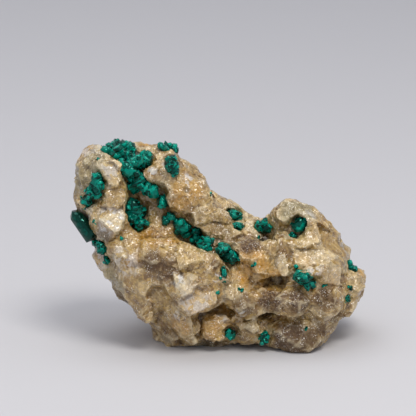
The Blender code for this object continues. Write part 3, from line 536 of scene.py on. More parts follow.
def nearest_plane(turns, facing):
    """Of the three cleavage planes of each turned block, the normal nearest to the one given."""
    edges = np.einsum("nij,kj->nki", turns, BLOCK_EDGES)
    planes = unit(np.cross(edges, np.roll(edges, -1, axis=1)))
    along = np.einsum("nki,ni->nk", planes, facing)
    rows = np.arange(len(facing))
    best = np.abs(along).argmax(axis=1)
    return planes[rows, best] * np.sign(along[rows, best])[:, None]


def grain_turns(places, shake=0.0):
    """How the calcite grain at each place is turned."""
    grains = nearest_cell(places, GRAIN_SIZE, SEED_GRAINS)
    return turns_from(cell_random(grains, SEED_GRAINS + 5, 4) + shake)


def cleaved(points, normals, size, salt, amount):
    """Breaks a surface into flat cleavage faces. Each cell's points move to one plane through their
    mean place. Its normal lies between their mean normal and the nearest cleavage direction of the
    grain that the cell is in, so that faces in a grain lie nearly parallel. Returns the points and a
    random tone from 0 to 1 for each, the same over a cell."""
    cells = nearest_cell(points, size, salt)
    _, label = np.unique(cells, axis=0, return_inverse=True)
    label = label.reshape(-1)
    count = np.bincount(label)[:, None]
    middle = np.stack([np.bincount(label, points[:, axis]) for axis in range(3)], axis=1) / count
    facing = unit(np.stack([np.bincount(label, normals[:, axis]) for axis in range(3)], axis=1))
    plane = unit(facing + CLEAVAGE_PULL * nearest_plane(grain_turns(middle), facing))[label]
    height = ((middle[label] - points) * plane).sum(axis=1)
    match = eased(*CLEAVAGE_MATCH, (normals * plane).sum(axis=1))
    limit = CLEAVAGE_LIMIT * size
    moved = points + plane * (np.clip(height, -limit, limit) * match * amount)[:, None]
    return moved, cell_random(cells, salt + 1, 1)[:, 0]


def settled_plane(corners, slopes, rng):
    """A plane for a face: its slopes lie between the rock's own, fitted by least squares to places
    inside the outline, and the slopes asked for. Its depth is the rock's mean depth there."""
    middle = corners.mean(axis=0)
    places = rng.dirichlet(np.full(len(corners), FACET_PROBE_SPREAD), FACET_PROBES) @ corners
    depths = np.array([spot(*place) @ LOOK for place in places]) / MM
    rows = np.column_stack([places - middle, np.ones(len(places))])
    fitted = np.linalg.lstsq(rows, depths, rcond=None)[0]
    own = np.clip(fitted[:2], -FACET_STEEPEST, FACET_STEEPEST)
    slopes = (1 - FACET_STRENGTH) * own + FACET_STRENGTH * slopes
    return slopes, (depths - (places - middle) @ slopes).mean()


def node_gaps(points, names, reach):
    """Each point's distance to the nearest of scattered places on the named solids, up to a reach."""
    rng = np.random.default_rng(SEED_GROWTH)
    gaps = np.full(len(points), reach)
    for name in names:
        places, _ = scattered(*mesh_arrays(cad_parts[name]), GAP_PLACES, rng)
        low, high = places.min(axis=0) - reach, places.max(axis=0) + reach
        inside = np.flatnonzero(((points > low) & (points < high)).all(axis=1))
        if len(inside):
            away = np.linalg.norm(points[inside, None] - places[None], axis=2).min(axis=1)
            gaps[inside] = np.minimum(gaps[inside], away)
    return gaps


class Neighbours:
    """The mean over the points that share an edge with each point."""

    def __init__(self, points, faces):
        self.ends = np.concatenate([faces, np.roll(faces, 1, axis=1)]).reshape(-1)
        self.others = np.concatenate([np.roll(faces, 1, axis=1), faces]).reshape(-1)
        self.length = len(points)
        self.count = np.bincount(self.ends, minlength=self.length)

    def mean(self, values):
        if values.ndim == 2:
            return np.stack([self.mean(column) for column in values.T], axis=1)
        return np.bincount(self.ends, values[self.others], self.length) / self.count


def pressed_flat(points, faces):
    """Lays the picture's flat faces into the rock. Points that the camera sees inside an outline move
    along its direction to the face's plane. The points between outlines take the mean of the moves
    round them, many times over, so that the rock between follows. Rock under dioptase stays.
    Returns the points, 1 for each that is on such a face, and the painted light and shade of its face."""
    rng = np.random.default_rng(SEED_BLOCKS)
    facing = point_normals(points, faces) @ LOOK < -EDGE_ON
    free = eased(*FACET_CLEAR, node_gaps(points, DIOPTASE_NODES, FACET_CLEAR[1] * MM) / MM)
    x, y = points @ PICTURE_RIGHT / MM, points @ PICTURE_UP / MM
    depth = points @ LOOK / MM
    move = np.zeros(len(points))
    faced, painted_light = np.zeros(len(points)), np.zeros(len(points))
    held = free == 0
    for _, turn, lean, proud, bright, corners in FACETS:
        start = np.array(corners)
        slopes, middle_depth = settled_plane(start, np.tan(np.radians([turn, lean])), rng)
        edge = np.roll(start, -1, axis=0) - start
        side = edge[:, 0, None] * (y - start[:, 1, None]) - edge[:, 1, None] * (x - start[:, 0, None])
        side /= np.linalg.norm(edge, axis=1)[:, None]
        inner = np.maximum(side.min(axis=0), -side.max(axis=0))
        middle = start.mean(axis=0)
        plane = middle_depth - FACET_PROUD * proud + (x - middle[0]) * slopes[0] + (y - middle[1]) * slopes[1]
        laid = facing & (inner > 0) & (np.abs(plane - depth) < FACET_SEEN) & ~held
        gap = np.clip(plane - depth, -FACET_MOVE, FACET_MOVE) * FACET_FLAT * free
        move[laid] = gap[laid]
        faced[laid] = 1
        # each laid face carries its painted light and shade from the table
        painted_light[laid] = bright
        held |= laid
    around = Neighbours(points, faces)
    for _ in range(FACET_SPREAD):
        move = np.where(held, move, around.mean(move))
    return points + (move * MM)[:, None] * LOOK, faced, painted_light


def swollen(points, faces):
    """Pushes the rock out by SKIN_SWELL, and round each place in SWELLS by its height, which eases to
    nothing at its radius. Rock under dioptase moves less."""
    height = np.full(len(points), SKIN_SWELL)
    for across, up, radius, most in SWELLS:
        off = np.linalg.norm(points - spot(across, up), axis=1) / (radius * MM)
        height += most * (1 - eased(SWELL_CORE, 1.0, off))
    free = eased(*SWELL_CLEAR, node_gaps(points, DIOPTASE_NODES, SWELL_CLEAR[1] * MM) / MM)
    return points + point_normals(points, faces) * (height * free * MM)[:, None]


def blunted(points, faces):
    """Draws in thin spikes: a point far off the mean of its neighbours moves towards it. An ordinary
    edge between faces is too near to that mean to move."""
    around = Neighbours(points, faces)
    for _ in range(BLUNT_ROUNDS):
        off = around.mean(points) - points
        points = points + off * eased(*BLUNT_OFF, np.linalg.norm(off, axis=1) / MM)[:, None]
    return points


def relief(points, faces):
    """How far each point stands out of the surface round it, from 0 in a hollow to 1 on an edge: its
    height over its place after some rounds in which every point moves to the mean of its neighbours."""
    around = Neighbours(points, faces)
    smoothed = points.copy()
    for _ in range(RELIEF_ROUNDS):
        smoothed = around.mean(smoothed)
    height = ((points - smoothed) * point_normals(smoothed, faces)).sum(axis=1)
    return np.clip(0.5 + 0.5 * height / (RELIEF_HEIGHT * MM), 0, 1)


def turned_to(turns, targets):
    """Turns each block the shortest way that brings its nearest cleavage face to a target normal: with
    v the cross product and c the dot product of the two, the turn is I + [v] + [v][v] / (1 + c)."""
    faced = nearest_plane(turns, targets)
    v = np.cross(faced, targets)
    cosine = (faced * targets).sum(axis=1)
    zero = np.zeros(len(v))
    rows = [[zero, -v[:, 2], v[:, 1]], [v[:, 2], zero, -v[:, 0]], [-v[:, 1], v[:, 0], zero]]
    crossed = np.stack([np.stack(row, axis=-1) for row in rows], axis=-2)
    turn = np.eye(3) + crossed + crossed @ crossed / (1 + cosine)[:, None, None]
    return turn @ turns


def fused(points, faces, more_points, more_faces, grid):
    """One closed surface round two meshes, on a grid of this spacing."""
    joined = np.concatenate([triangles(faces), triangles(more_faces) + len(points)])
    raw = new_mesh_object("raw", np.concatenate([points, more_points]), joined)
    remesh = raw.modifiers.new("fuse", "REMESH")
    remesh.mode = "VOXEL"
    remesh.voxel_size = grid
    made = face_arrays(raw.evaluated_get(bpy.context.evaluated_depsgraph_get()).to_mesh(), 4)
    bpy.data.objects.remove(raw)
    return largest_part(*made)


def large_blocks(base, base_faces, rng):
    """Large cleavage blocks round the back, where the picture shows no faces: each stands a little
    proud, with one face nearly along the rock."""
    places, normals = scattered(base, base_faces, LARGE_COUNT, rng)
    kept = (normals @ LOOK > LARGE_BACK) & (places[:, 2] > LARGE_LOWEST * MM)
    kept &= node_gaps(places, DIOPTASE_NODES, LARGE_CLEAR * MM) == LARGE_CLEAR * MM
    places, normals = places[kept], normals[kept]
    half = rng.uniform(*LARGE_HALF, len(places))
    halves = half[:, None] * rng.uniform(*LARGE_UNEVEN, (len(places), 3))
    targets = unit(normals + LARGE_LEAN * rng.standard_normal(normals.shape))
    turns = turned_to(turns_from(rng.random((len(places), 4))), targets)
    proud = rng.uniform(*LARGE_PROUD, len(places))
    edges = np.einsum("nij,kj->nki", turns, BLOCK_EDGES)
    tilt = np.abs(np.einsum("nki,ni->nk", edges, normals))
    reach = (halves * tilt).sum(axis=1)
    spread = reach - halves[np.arange(len(places)), tilt.argmax(axis=1)] * tilt.max(axis=1)
    return cleavage_blocks(places, normals, halves * MM, (proud + spread * LARGE_OUT) * MM, turns)


def small_blocks(base, base_faces, rng):
    """Small cleavage blocks at random places, few on milky rock and many where it is sugary. Those in
    one grain lie nearly the same way."""
    places, normals = scattered(base, base_faces, BLOCK_COUNT, rng)
    smooth = patch_mask(places, SMOOTH, SALT_SMOOTH, hidden=False)
    crowded = eased(*BLOCK_CROWD, noise(places, BLOCK_CROWD_SIZE * MM, SALT_CROWD, 2))
    sugary = patch_mask(places, SUGARY, SALT_SUGARY)
    likely = np.maximum(BLOCK_SPARSE + (1 - BLOCK_SPARSE) * crowded, sugary)
    kept = rng.random(len(places)) < (1 - BLOCK_MILKY * smooth) * likely
    kept &= node_gaps(places, DIOPTASE_NODES, BLOCK_CLEAR * MM) == BLOCK_CLEAR * MM
    kept &= places[:, 2] > BLOCK_LOWEST * MM
    places, normals = places[kept], normals[kept]
    share = rng.random(len(places)) ** BLOCK_SKEW
    half = BLOCK_HALF[0] + (BLOCK_HALF[1] - BLOCK_HALF[0]) * share
    halves = half[:, None] * rng.uniform(*BLOCK_UNEVEN, (len(places), 3))
    proud = half * rng.uniform(*BLOCK_PROUD, len(places))
    turns = grain_turns(places, BLOCK_SHAKE * rng.standard_normal((len(places), 4)))
    return cleavage_blocks(places, normals, halves * MM, proud * MM, turns)


def milky(points, faces):
    """Smooths the milky parts: time after time, their points move towards the mean of their neighbours.
    Returns the points and how milky each is."""
    smooth = patch_mask(points, SMOOTH, SALT_SMOOTH, hidden=False)
    around = Neighbours(points, faces)
    for _ in range(MILKY_ROUNDS):
        points += (MILKY_MOVE * smooth)[:, None] * (around.mean(points) - points)
    return points, smooth


def broken(points, faces, laid, painted_light, smooth):
    """Breaks the rock into large and medium cleavage faces, less so where a face is laid or the rock is
    milky, and its sugary parts into small ones, then roughens it. Returns the points and their tones:
    a laid face's painted light and shade, or elsewhere a mix of the cells' own random tones."""
    sugary = patch_mask(points, SUGARY, SALT_SUGARY)
    even = 1 - FACET_EVEN * laid
    size, salt, most = CLEAVAGE_LARGE
    points, tone = cleaved(points, point_normals(points, faces), size, salt, most * even)
    size, salt, most = CLEAVAGE_MEDIUM
    points, own = cleaved(points, point_normals(points, faces), size, salt, most * even * (1 - smooth))
    size, salt, most = CLEAVAGE_SUGAR
    normals = point_normals(points, faces)
    points, _ = cleaved(points, normals, size, salt, most * sugary)
    # on a laid face the tone is painted light and shade, with a little of its cells' own tone
    face_painted_light = 0.5 + PAINTED_FACE_LIGHT * painted_light + TONE_FACE_OWN * own
    tone = np.where(laid > 0, face_painted_light, TONE_LARGE * tone + TONE_OWN * own)
    rough = ROUGH + ROUGH_SUGARY * sugary - ROUGH_MILKY * smooth
    waves = rough * noise(points, ROUGH_SIZE * MM, SALT_ROUGH, 2) * MM
    return points + normals * waves[:, None], tone


def boxed(points, margin_below=BOX_MARGIN):
    """Points kept inside the solids' box, less a margin."""
    low = np.array(CAD_BOX[0]) + [BOX_MARGIN, BOX_MARGIN, margin_below]
    return np.clip(points, low, np.array(CAD_BOX[1]) - BOX_MARGIN)


def rock_skin():
    """The rock's fine surface: the faceted base with large and then small cleavage blocks laid over
    it, fused on a fine grid, swollen to the picture's outline, smoothed where it is milky, pressed to
    the picture's faces, broken by cleavage, blunted and thinned."""
    rng = np.random.default_rng(SEED_BLOCKS)
    base, base_faces = ROCK_POINTS - SKIN_INSET * point_normals(ROCK_POINTS, ROCK_FACES), ROCK_FACES
    base, base_faces = fused(base, base_faces, *large_blocks(base, base_faces, rng), LARGE_GRID)
    points, faces = fused(base, base_faces, *small_blocks(base, base_faces, rng), SKIN_GRID)
    points, smooth = milky(swollen(points, faces), faces)
    points, laid, painted_light = pressed_flat(points, faces)
    for size, height, salt in WARPS:
        points += point_normals(points, faces) * (height * MM * noise(points, size * MM, salt, 2))[:, None]
    points, tone = broken(points, faces, laid, painted_light, smooth)
    points = blunted(points, faces)
    points, faces, marks = thinned(points, faces, {"relief": relief(points, faces), "tone": tone})
    return boxed(points, margin_below=0), faces, marks


def add_attribute(obj, name, values, domain="POINT"):
    """Stores one number for each point or face, for the material to read."""
    attribute = obj.data.attributes.new(name, "FLOAT", domain)
    attribute.data.foreach_set("value", np.ascontiguousarray(values, np.float32))


def thinned(points, faces, marks):
    """The same surface with fewer triangles: a Decimate modifier takes them from flat ground first.
    The marks ride along as attributes."""
    fine = new_mesh_object("fine", points, faces)
    for name, values in marks.items():
        add_attribute(fine, name, values)
    thin = fine.modifiers.new("thin", "DECIMATE")
    thin.ratio = ROCK_TRIANGLES / (2 * len(faces))
    thin.use_collapse_triangulate = True
    mesh = fine.evaluated_get(bpy.context.evaluated_depsgraph_get()).to_mesh()
    places, corners = face_arrays(mesh, 3)
    kept = {name: np.empty(len(places), np.float32) for name in marks}
    for name, values in kept.items():
        mesh.attributes[name].data.foreach_get("value", values)
    bpy.data.objects.remove(fine)
    return places, corners, kept


def build_rock(material):
    """The rock in place of its solid, with its patches as attributes. Returns its points, normals and
    faces, for what grows on it."""
    points, faces, marks = rock_skin()
    obj = new_mesh_object("calcite", points, faces)
    masks = {"iron": STAIN_IRON, "earth": STAIN_EARTH, "frost": FROST, "crust": CRUST, "smoke": SMOKE}
    marks["smooth"] = patch_mask(points, SMOOTH, SALT_SMOOTH, hidden=False)
    for salt, (name, patches) in enumerate(masks.items()):
        marks[name] = patch_mask(points, patches, SALT_STAINS + salt)
    for name, values in marks.items():
        add_attribute(obj, name, values)
    obj.data.shade_smooth()
    obj.data.set_sharp_from_angle(angle=SHARP_ANGLE)
    obj.data.materials.append(material)
    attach(obj, "root")
    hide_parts(ROCK_NODE)
    return points, point_normals(points, faces), faces


def crystals(centres, axes, ups, radii, lengths, spins):
    """Six-sided crystals with three-faced ends. The corner ring at each end rises and falls by turns,
    so that each end face is a flat rhomb that falls from the tip. Ring corner k is at 30 + 60 k degrees
    and the spin from the up direction, so that without spin a side looks up. It is at half the length
    less a fall of half or of one end face, and the far end is the near one turned."""
    count = len(centres)
    side = unit(ups - (ups * axes).sum(axis=1)[:, None] * axes)
    other = np.cross(axes, side)
    angles = spins[:, None] + np.radians(30 + 60 * np.arange(6))[None]
    ring = side[:, None] * np.cos(angles)[..., None] + other[:, None] * np.sin(angles)[..., None]
    ring = centres[:, None] + ring * radii[:, None, None]
    high = lengths / 2 - RHOMB_END_FALL * radii / 2
    low = lengths / 2 - RHOMB_END_FALL * radii
    odd = np.arange(6) % 2
    top = np.where(odd[None] == 0, high[:, None], low[:, None])
    bottom = -np.where(odd[None] == 1, high[:, None], low[:, None])
    points = np.concatenate([
        ring + axes[:, None] * top[..., None],
        ring + axes[:, None] * bottom[..., None],
        (centres + axes * lengths[:, None] / 2)[:, None],
        (centres - axes * lengths[:, None] / 2)[:, None],
    ], axis=1)
    k = np.arange(6)
    sides = np.stack([k + 6, (k + 1) % 6 + 6, (k + 1) % 6, k], axis=1)
    ends = [[12, 0, 1, 2], [12, 2, 3, 4], [12, 4, 5, 0], [13, 7, 6, 11], [13, 9, 8, 7], [13, 11, 10, 9]]
    quads = np.concatenate([sides, np.array(ends)])
    faces = quads[None] + CRYSTAL_POINTS * np.arange(count)[:, None, None]
    return points.reshape(-1, 3), faces.reshape(-1, 4)


def pressed_on(points, share):
    """Brings points outside the rock nearer to it: each keeps a share of its height over the plane of
    the rock's nearest scattered place."""
    places, normals = ROCK_CLOUD
    low, high = points.min(axis=0) - CLOUD_REACH, points.max(axis=0) + CLOUD_REACH
    close = ((places > low) & (places < high)).all(axis=1)
    places, normals = places[close], normals[close]
    nearest = np.linalg.norm(points[:, None] - places[None], axis=2).argmin(axis=1)
    height = ((points - places[nearest]) * normals[nearest]).sum(axis=1)
    return points - ((1 - share) * np.maximum(height, 0))[:, None] * normals[nearest]


def tapered(points):
    """Narrows a crystal towards its upper end: distances from its long axis are scaled by a share
    that changes evenly from one end to the other."""
    middle = points.mean(axis=0)
    axis = np.linalg.svd(points - middle, full_matrices=False)[2][0]
    axis = axis * np.sign(axis[2])
    along = (points - middle) @ axis
    share = np.interp(along, [along.min(), along.max()], PRISM_TAPER)
    return middle + along[:, None] * axis + (points - middle - along[:, None] * axis) * share[:, None]


def chosen(table, name):
    """The value of the first key in the table that the name has in it, or else the default."""
    return next((value for key, value in table.items() if key in name), table["default"])


def own_crystals(name, node):
    """A solid's own crystals: drawn in to their middle and on to the rock, or tapered where nothing
    grows on them."""
    points, faces = mesh_arrays(node)
    if not chosen(GROWTH_RADIUS, name):
        return tapered(points), faces
    middle = points.mean(axis=0)
    drawn_in = middle + chosen(GROWTH_SHRUNK, name) * (points - middle)
    return pressed_on(drawn_in, GROWTH_FLAT), faces


def grown(name, points, faces, skin, rng):
    """Small crystals that lie on a solid's faces, and an apron of smaller ones on the rock round it."""
    radius = chosen(GROWTH_RADIUS, name)
    area = np.linalg.norm(face_normals(points, faces), axis=1).sum() / 2 / MM**2
    count = int(area / (CROWD * radius**2)) if radius else 0
    places, normals = scattered(points, faces, count, rng)
    apron = node_gaps(skin[0], [name], APRON_REACH * MM) < APRON_REACH * MM
    apron_places, apron_normals = skin[0][apron], skin[1][apron]
    few = rng.permutation(len(apron_places))[: int(APRON_SHARE * len(apron_places) * bool(radius))]
    sizes = np.concatenate([np.full(count, radius), np.full(len(few), APRON_RADIUS * radius)])
    places = np.concatenate([places, apron_places[few]])
    normals = np.concatenate([normals, apron_normals[few]])
    count = len(places)
    radii = sizes * MM * rng.uniform(*GROWTH_UNEVEN, count)
    lengths = radii * rng.uniform(*GROWTH_LENGTH, count)
    flat = unit(np.cross(normals, rng.standard_normal((count, 3))))
    axes = unit(flat + GROWTH_LEAN * rng.standard_normal((count, 1)) * normals)
    sunk = radii * (rng.uniform(*GROWTH_PROUD, count) - SIDE_REACH)
    centres = places + normals * sunk[:, None]
    return crystals(centres, axes, normals, radii, lengths, GROWTH_SPIN * rng.standard_normal(count))


def build_cluster(name, node, skin, material, salt):
    """A dioptase solid's own crystals with those grown on them, in its place. Each face has a tone."""
    rng = np.random.default_rng(SEED_GROWTH + salt)
    points, faces = own_crystals(name, node)
    more, quads = grown(name, points, faces, skin, rng)
    all_faces = np.concatenate([faces, triangles(quads) + len(points)])
    points = boxed(np.concatenate([points, more]))
    obj = new_mesh_object(name + "_crystals", points, all_faces)
    steps = np.round(unit(face_normals(points, faces)) * TONE_STEPS)
    # the bare prism is darker: partly painted shade under the rock, partly its own deeper green
    share = TONE_GROWN if chosen(GROWTH_RADIUS, name) else TONE_BARE
    own = share * cell_random(steps + salt, SALT_FACES, 1)[:, 0]
    add_attribute(obj, "tone", np.concatenate([own, np.tile(rng.random(len(quads)), 2)]), "FACE")
    obj.data.materials.append(material)
    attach(obj, "root")
    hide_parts(name)


def build_grains(skin, material):
    """Single grains of dioptase: a few small crystals at odd angles in each place of the table."""
    rng = np.random.default_rng(SEED_GROWTH)
    tree = BVHTree.FromPolygons(skin[0].tolist(), skin[2].tolist())
    middles = np.repeat([spot(across, up, tree) for across, up in GRAINS], GRAIN_CRYSTALS, axis=0)
    centres = middles + rng.uniform(-GRAIN_SPREAD, GRAIN_SPREAD, middles.shape) * MM
    radii = rng.uniform(*GRAIN_RADIUS, len(centres)) * MM
    axes = unit(rng.standard_normal(centres.shape))
    ups = rng.standard_normal(centres.shape)
    points, faces = crystals(centres, axes, ups, radii, GRAIN_LENGTH * radii, np.zeros(len(centres)))
    obj = new_mesh_object("dioptase_grains", points, faces)
    add_attribute(obj, "tone", rng.random(len(faces)), "FACE")
    obj.data.materials.append(material)
    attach(obj, "root")


def linear(red, green, blue):
    """A colour given as 0 to 255 on a screen, as the shader's own values."""
    share = np.array([red, green, blue]) / 255
    value = np.where(share <= 0.04045, share / 12.92, ((share + 0.055) / 1.055) ** 2.4)
    return (*value.tolist(), 1.0)


class Shader:
    """A material's node tree, with a short way to add a node and wire it."""

    def __init__(self, name):
        self.material = bpy.data.materials.new(name)
        self.material.use_nodes = True
        self.tree = self.material.node_tree
        self.tree.nodes.clear()
        self.out = self.tree.nodes.new("ShaderNodeOutputMaterial")
        self.place = self.add("ShaderNodeTexCoord").outputs["Object"]

    def add(self, kind, settings=None, **inputs):
        """A node with its settings. An input is given by its name, or as i and its number, and is
        either a socket to link or a value."""
        node = self.tree.nodes.new(kind)
        for key, value in (settings or {}).items():
            setattr(node, key, value)
        for key, value in inputs.items():
            by_number = key[0] == "i" and key[1:].isdigit()
            socket = node.inputs[int(key[1:]) if by_number else key.replace("_", " ")]
            if isinstance(value, bpy.types.NodeSocket):
                self.tree.links.new(value, socket)
            else:
                socket.default_value = value
        return node

    def surface(self, **inputs):
        shader = self.add("ShaderNodeBsdfPrincipled", None, **inputs)
        self.tree.links.new(shader.outputs[0], self.out.inputs["Surface"])

    def mark(self, name):
        return self.add("ShaderNodeAttribute", {"attribute_name": name}).outputs["Fac"]

    def noise(self, scale, detail=3.0, roughness=0.6):
        settings = {"Vector": self.place, "Scale": scale, "Detail": detail, "Roughness": roughness}
        return self.add("ShaderNodeTexNoise", None, **settings).outputs["Fac"]

    def voronoi(self, place, scale):
        """A random colour for each cell."""
        return self.add("ShaderNodeTexVoronoi", None, Vector=place, Scale=scale).outputs["Color"]

    def math(self, operation, a, b):
        return self.add("ShaderNodeMath", {"operation": operation}, i0=a, i1=b).outputs[0]

    def plus(self, a, b):
        return self.math("ADD", a, b)

    def times(self, a, b):
        return self.math("MULTIPLY", a, b)

    def vector(self, operation, output="Vector", **inputs):
        return self.add("ShaderNodeVectorMath", {"operation": operation}, **inputs).outputs[output]

    def ranged(self, value, low, high, to_low=0.0, to_high=1.0):
        node = self.add("ShaderNodeMapRange", None, i0=value, i1=low, i2=high, i3=to_low, i4=to_high)
        return node.outputs[0]

    def mix(self, share, first, second):
        return self.add("ShaderNodeMix", {"data_type": "RGBA"}, i0=share, i6=first, i7=second).outputs[2]

    def shifted(self, base, colour, amount):
        """A vector, moved by a random colour less its mean, times an amount."""
        centred = self.vector("SUBTRACT", i0=colour, i1=MIDDLE)
        return self.vector("ADD", i0=base, i1=self.vector("SCALE", i0=centred, i3=amount))

    def warped(self, scale, amount):
        """The place, shifted by up to an amount by noise, so that cells of it have ragged edges."""
        noise = self.add("ShaderNodeTexNoise", None, Vector=self.place, Scale=scale, Detail=3.0)
        return self.shifted(self.place, noise.outputs["Color"], amount)

    def cells(self, place, scale):
        """One random number for each cell."""
        return self.add("ShaderNodeSeparateColor", None, i0=self.voronoi(place, scale)).outputs[0]

    def streaks(self, place, scale, fineness):
        """Fine parallel lines, as cleavage leaves them: noise along a direction that is random in
        each cell, so it is constant across that direction."""
        way = self.vector("NORMALIZE", i0=self.vector("SUBTRACT", i0=self.voronoi(place, scale), i1=MIDDLE))
        along = self.vector("DOT_PRODUCT", "Value", i0=self.place, i1=way)
        settings = {"noise_dimensions": "1D"}
        return self.add("ShaderNodeTexNoise", settings, W=along, Scale=fineness, Detail=2.0).outputs["Fac"]

    def tilted(self, normal, scale, amount):
        """The normal, with each small cell of the surface turned its own way by up to an amount."""
        turned = self.shifted(normal, self.voronoi(self.place, scale), amount)
        return self.vector("NORMALIZE", i0=turned)


def painted(s, colour, layers):
    """A colour with layers over it, each a share and the name of a paint."""
    for share, paint in layers:
        colour = s.mix(share, colour, linear(*PAINTS[paint]))
    return colour


def calcite_material():
    """Cream calcite: mottled from grain to grain, stained in the patches, with glinting cleavage. Its colour
    also carries painted glints, painted shade in hollows and painted light and shade on the laid faces.
    """
    s = Shader("calcite")
    mottle = s.noise(260.0, 4.0, 0.65)
    fine = s.noise(1500.0, 3.0, 0.6)
    warped = s.warped(180.0, 0.0016)
    tone, milky_share, height = s.mark("tone"), s.mark("smooth"), s.mark("relief")
    small = s.cells(warped, 800.0)
    lines = s.streaks(warped, 260.0, 1800.0)
    streak = s.mix(s.times(milky_share, 0.75), lines, (*MIDDLE, 1.0))
    # low tone also pulls towards umber: on laid faces that is their painted shade, elsewhere random cell tone
    blotch = s.plus(s.times(s.math("SUBTRACT", 1.0, tone), 0.4), s.times(small, 0.25))
    blotch = s.plus(blotch, s.times(mottle, 0.45))
    earth = s.times(s.mark("earth"), s.ranged(fine, 0.36, 0.58, 0.6, 1.0))
    # painted glints: tiny white specks that stand in for glints on cleavage faces
    painted_glint = s.times(s.ranged(s.noise(3200.0, 1.0), 0.58, 0.66), s.ranged(s.noise(500.0, 2.0), 0.47, 0.60))
    colour = painted(s, linear(*PAINTS["cream"]), [
        (s.ranged(blotch, 0.25, 0.85), "umber"),
        (s.ranged(streak, 0.35, 0.6, 0.38, 0.0), "dark line"),
        (s.ranged(streak, 0.58, 0.72, 0.0, 0.32), "pale line"),
        # painted highlight and painted shade on the laid faces, carried by tone; elsewhere tone is random per
        # cell
        (s.ranged(tone, 0.6, 1.0, 0.0, 0.5), "pale tone and painted highlight"),
        (s.ranged(tone, 0.0, 0.40, 0.45, 0.0), "dark tone and painted shade"),
        (s.times(s.mark("crust"), 0.85), "crust"),
        (s.times(s.mark("iron"), s.ranged(mottle, 0.3, 0.65, 0.35, 1.0)), "iron"),
        (s.times(s.mark("smoke"), 0.8), "smoke"),
        (earth, "earth"),
        (s.times(s.mark("frost"), s.ranged(s.plus(small, streak), 0.75, 1.15, 0.0, 0.85)), "frost"),
        (s.ranged(fine, 0.3, 0.7, 0.35, 0.0), "pore"),
        (s.times(painted_glint, 0.75), "painted_glint"),
        # painted shade in hollows, where relief is low
        (s.ranged(height, 0.05, 0.42, 0.55, 0.0), "painted hollow shade"),
        # lighter on raised edges, where relief is high
        (s.ranged(height, 0.70, 1.0, 0.0, 0.3), "pale raised edge"),
    ])
    face = s.add("ShaderNodeNewGeometry").outputs["Normal"]
    glint = s.tilted(s.tilted(face, 900.0, 0.7), 2400.0, 0.6)
    rough = s.plus(fine, s.times(streak, 1.2))
    strength = s.ranged(milky_share, 0.0, 1.0, 1.0, 0.3)
    bump = s.add("ShaderNodeBump", None, Strength=strength, Distance=0.0002, Height=rough, Normal=glint)
    s.surface(
        Base_Color=colour, Roughness=s.ranged(earth, 0.0, 0.8, 0.38, 0.65), IOR=1.6, Normal=bump.outputs[0],
        Subsurface_Weight=0.15, Subsurface_Radius=(1.0, 0.8, 0.55), Subsurface_Scale=0.0008,
        Coat_Weight=s.ranged(earth, 0.0, 0.6, 0.9, 0.15), Coat_Roughness=0.08, Coat_Normal=glint,
    )
    return s.material


def dioptase_material():
    """Deep blue-green crystal: clear, strongly absorbing, with faces that glint."""
    s = Shader("dioptase")
    face = s.add("ShaderNodeNewGeometry").outputs["Normal"]
    depth = s.plus(s.times(s.noise(900.0, 2.0, 0.5), 0.5), s.times(s.mark("tone"), 0.75))
    colour = painted(s, linear(*PAINTS["deep green"]), [(s.ranged(depth, 0.35, 0.95), "blue green")])
    s.surface(
        Base_Color=colour, Roughness=0.06, IOR=1.67, Normal=s.tilted(face, 800.0, 0.2),
        Transmission_Weight=0.5, Specular_IOR_Level=0.22, Specular_Tint=(0.25, 0.95, 0.78, 1.0),
    )
    volume = s.add("ShaderNodeVolumeAbsorption", None, Color=(0.0, 0.72, 0.62, 1.0), Density=1100.0)
    s.tree.links.new(volume.outputs[0], s.out.inputs["Volume"])
    return s.material


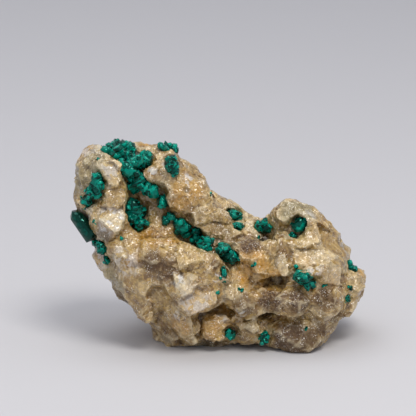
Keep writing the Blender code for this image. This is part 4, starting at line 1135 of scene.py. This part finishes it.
def build_floor():
    """A pale sheet that lies flat and then sweeps up behind: a straight run, a quarter turn and a
    straight rise, carried sideways."""
    turn = np.radians(np.linspace(0, 90, 24))
    bend = np.stack([FLOOR_BACK + FLOOR_BEND * np.sin(turn), FLOOR_BEND * (1 - np.cos(turn))], axis=1)
    run = np.concatenate([[[FLOOR_NEAR, 0]], bend, [[FLOOR_BACK + FLOOR_BEND, FLOOR_RISE]]])
    sides = np.repeat([-FLOOR_SIDE, FLOOR_SIDE], len(run))
    points = np.column_stack([sides, np.tile(run, (2, 1))])
    k = np.arange(len(run) - 1)
    faces = np.stack([k, k + len(run), k + len(run) + 1, k + 1], axis=1)
    obj = new_mesh_object("floor", points, faces)
    obj.data.shade_smooth()
    s = Shader("floor")
    s.surface(Base_Color=linear(*PAINTS["floor"]), Roughness=0.7)
    obj.data.materials.append(s.material)


def aim(obj, target):
    """Turns a light or camera to look at a place."""
    obj.rotation_mode = "QUATERNION"
    obj.rotation_quaternion = (Vector(target) - obj.location).to_track_quat("-Z", "Y")


def add_light(name, place, size, power, colour):
    """A soft square light that shines on the specimen's middle."""
    data = bpy.data.lights.new(name, "AREA")
    data.size = size
    data.energy = power
    data.color = colour
    obj = bpy.data.objects.new(name, data)
    obj.location = place
    aim(obj, LIT_MIDDLE)
    bpy.context.collection.objects.link(obj)


def build_view():
    """The camera at the picture's angle, the studio's even light and its two lamps."""
    data = bpy.data.cameras.new("camera")
    data.sensor_width = CAMERA_SENSOR
    data.lens = CAMERA_SENSOR * CAMERA_BACK / PICTURE_WIDTH
    camera = bpy.data.objects.new("camera", data)
    camera.location = Vector(CAMERA_AIM) - Vector(LOOK) * CAMERA_BACK
    aim(camera, CAMERA_AIM)
    bpy.context.collection.objects.link(camera)
    bpy.context.scene.camera = camera
    world = bpy.data.worlds.new("studio")
    world.use_nodes = True
    background = world.node_tree.nodes["Background"]
    background.inputs["Color"].default_value = WORLD_COLOUR
    background.inputs["Strength"].default_value = WORLD_STRENGTH
    bpy.context.scene.world = world
    bpy.context.scene.view_settings.view_transform = "Standard"
    add_light("key", *KEY_LIGHT)
    add_light("top", *TOP_LIGHT)


build_floor()
build_view()
SKIN = build_rock(calcite_material())
DIOPTASE = dioptase_material()
for number, node_name in enumerate(DIOPTASE_NODES):
    build_cluster(node_name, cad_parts[node_name], SKIN, DIOPTASE, number)
build_grains(SKIN, DIOPTASE)
